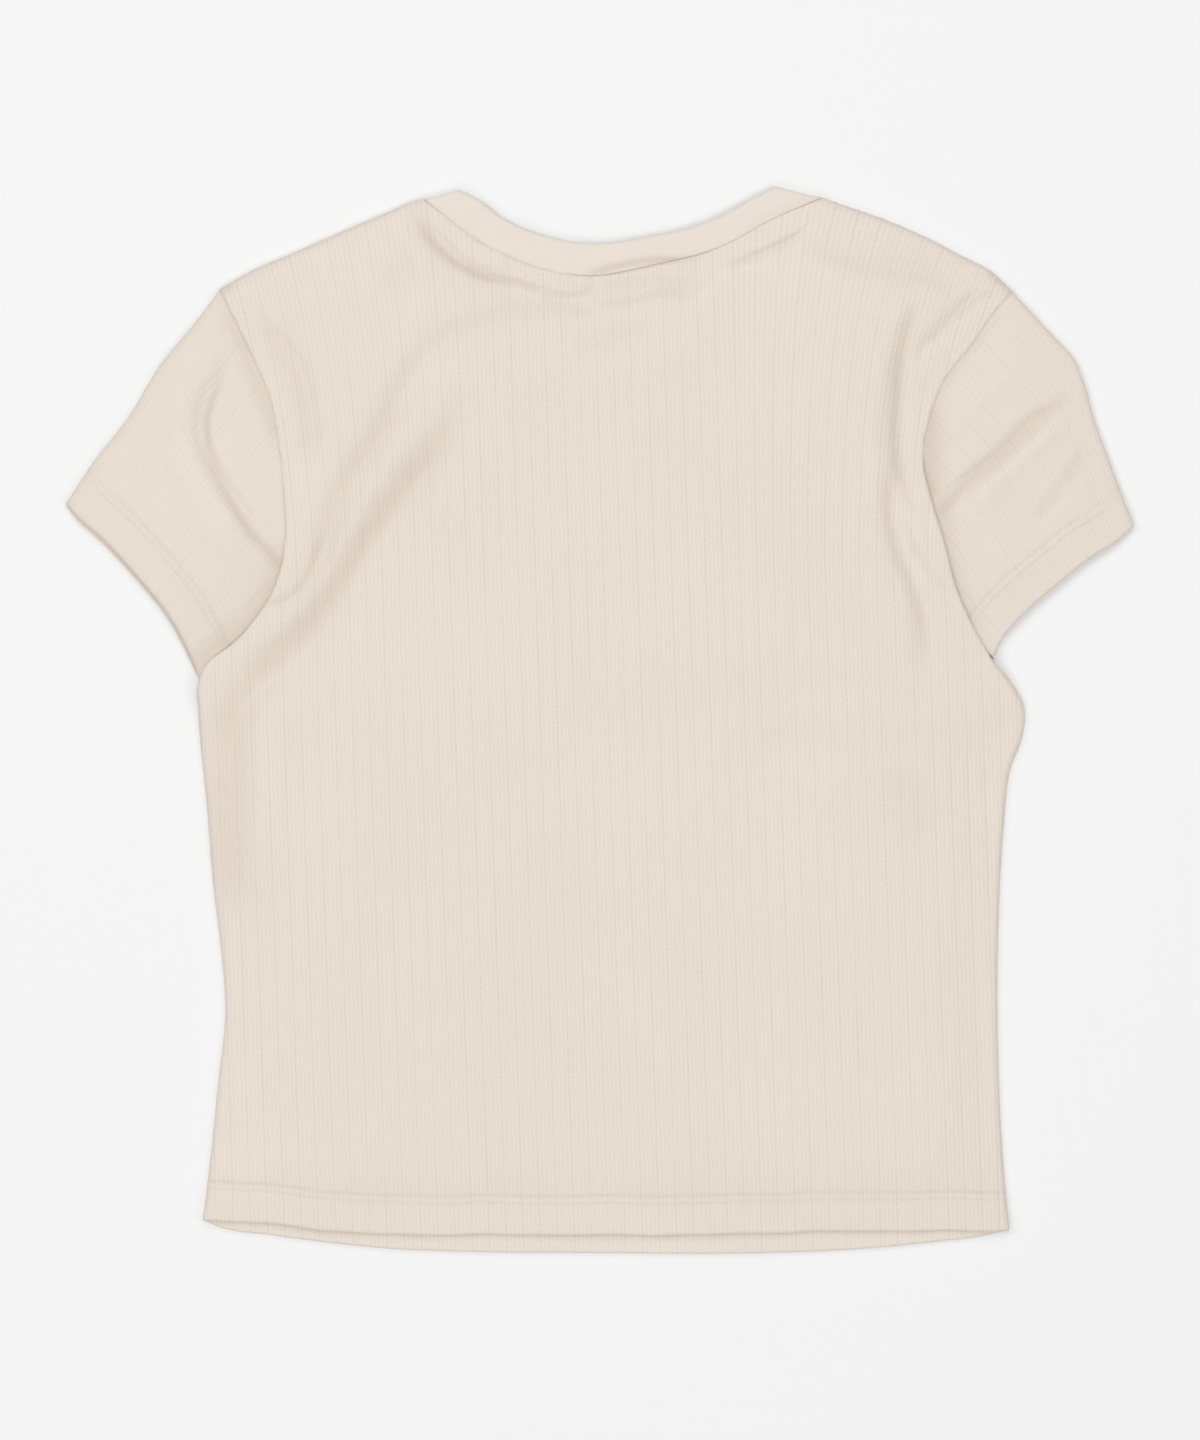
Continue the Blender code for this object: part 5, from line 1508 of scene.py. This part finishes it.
class TSHIRT_OT_stage(bpy.types.Operator):
    """Lay out the plain floor, the soft light and the camera straight above"""

    bl_idname = "tshirt.stage"
    bl_label = "Stage"

    def execute(self, context):
        scene, stage = context.scene, context.scene.tshirt_stage
        mesh = bpy.data.meshes.new("floor")
        corners = ((-1, -1), (1, -1), (1, 1), (-1, 1))
        mesh.from_pydata([(x * FLOOR_REACH, y * FLOOR_REACH, 0.0) for x, y in corners], [], [(0, 1, 2, 3)])
        paint = bpy.data.materials.new("floor_paint")
        paint.use_nodes = True
        shader = paint.node_tree.nodes["Principled BSDF"]
        shader.inputs["Base Color"].default_value = (*stage.floor_colour, 1.0)
        shader.inputs["Roughness"].default_value = 1.0
        shader.inputs["Specular IOR Level"].default_value = 0.0
        mesh.materials.append(paint)
        floor = bpy.data.objects.new("floor", mesh)
        floor.location.z = -FLOOR_DROP
        scene.collection.objects.link(floor)
        add_lamp("lamp_above", np.pi / 2, 0.0, TOP_LAMP_SIZE, stage.lamp_power)
        for name, heading, share in SIDE_LAMPS:
            power = stage.side_power * share
            add_lamp(name, stage.side_elevation, np.radians(heading), SIDE_LAMP_SIZE, power)
        world = bpy.data.worlds.new("soft_sky")
        world.use_nodes = True
        sky = world.node_tree.nodes["Background"]
        sky.inputs["Color"].default_value = (1.0, 1.0, 1.0, 1.0)
        sky.inputs["Strength"].default_value = stage.sky_strength
        scene.world = world
        scene.view_settings.view_transform = "Standard"
        camera = bpy.data.cameras.new("camera_above")
        camera.lens = stage.camera_lens
        camera.sensor_width = SENSOR_WIDTH
        eye = bpy.data.objects.new("camera_above", camera)
        eye.location = (0.0, 0.0, stage.camera_height)
        scene.collection.objects.link(eye)
        scene.camera = eye
        return {"FINISHED"}


def add_lamp(name, elevation, heading, size, power):
    """A square soft lamp at a distance from the shirt's middle, turned towards it.

    The elevation is the angle above the floor, and the heading the angle from +X towards +Y."""
    lamp = bpy.data.lights.new(name, "AREA")
    lamp.size = size
    lamp.energy = power
    holder = bpy.data.objects.new(name, lamp)
    out = LAMP_DISTANCE * np.cos(elevation)
    holder.location = (out * np.cos(heading), out * np.sin(heading), LAMP_DISTANCE * np.sin(elevation))
    holder.rotation_euler = (0.0, np.pi / 2 - elevation, heading)
    bpy.context.scene.collection.objects.link(holder)


OPERATORS = (TSHIRT_OT_front_panel, TSHIRT_OT_back_panel, TSHIRT_OT_sleeves, TSHIRT_OT_neckband,
             TSHIRT_OT_stitches, TSHIRT_OT_stage)


class TSHIRT_PT_panel(bpy.types.Panel):
    """Lists the shirt's settings and its pieces."""

    bl_label = "T-Shirt"
    bl_idname = "TSHIRT_PT_panel"
    bl_space_type = "VIEW_3D"
    bl_region_type = "UI"
    bl_category = "T-Shirt"

    def draw(self, context):
        for settings in (context.scene.tshirt_knit, context.scene.tshirt_stage):
            box = self.layout.box()
            for name in settings.bl_rna.properties.keys():
                if name not in ("rna_type", "name"):
                    box.prop(settings, name)
        for operator in OPERATORS:
            self.layout.operator(operator.bl_idname)


CLASSES = (TShirtKnit, TShirtStage, *OPERATORS, TSHIRT_PT_panel)


def register():
    """Registers the classes and puts both groups of settings on the scene."""
    for entry in CLASSES:
        bpy.utils.register_class(entry)
    bpy.types.Scene.tshirt_knit = bpy.props.PointerProperty(type=TShirtKnit)
    bpy.types.Scene.tshirt_stage = bpy.props.PointerProperty(type=TShirtStage)


def unregister():
    """Takes the settings and the classes away again."""
    del bpy.types.Scene.tshirt_stage
    del bpy.types.Scene.tshirt_knit
    for entry in reversed(CLASSES):
        bpy.utils.unregister_class(entry)


def main():
    """Makes every piece and the stage."""
    register()
    bpy.ops.tshirt.front_panel()
    bpy.ops.tshirt.back_panel()
    bpy.ops.tshirt.sleeves()
    bpy.ops.tshirt.neckband()
    bpy.ops.tshirt.stitches()
    bpy.ops.tshirt.stage()


if __name__ == "__main__":
    main()
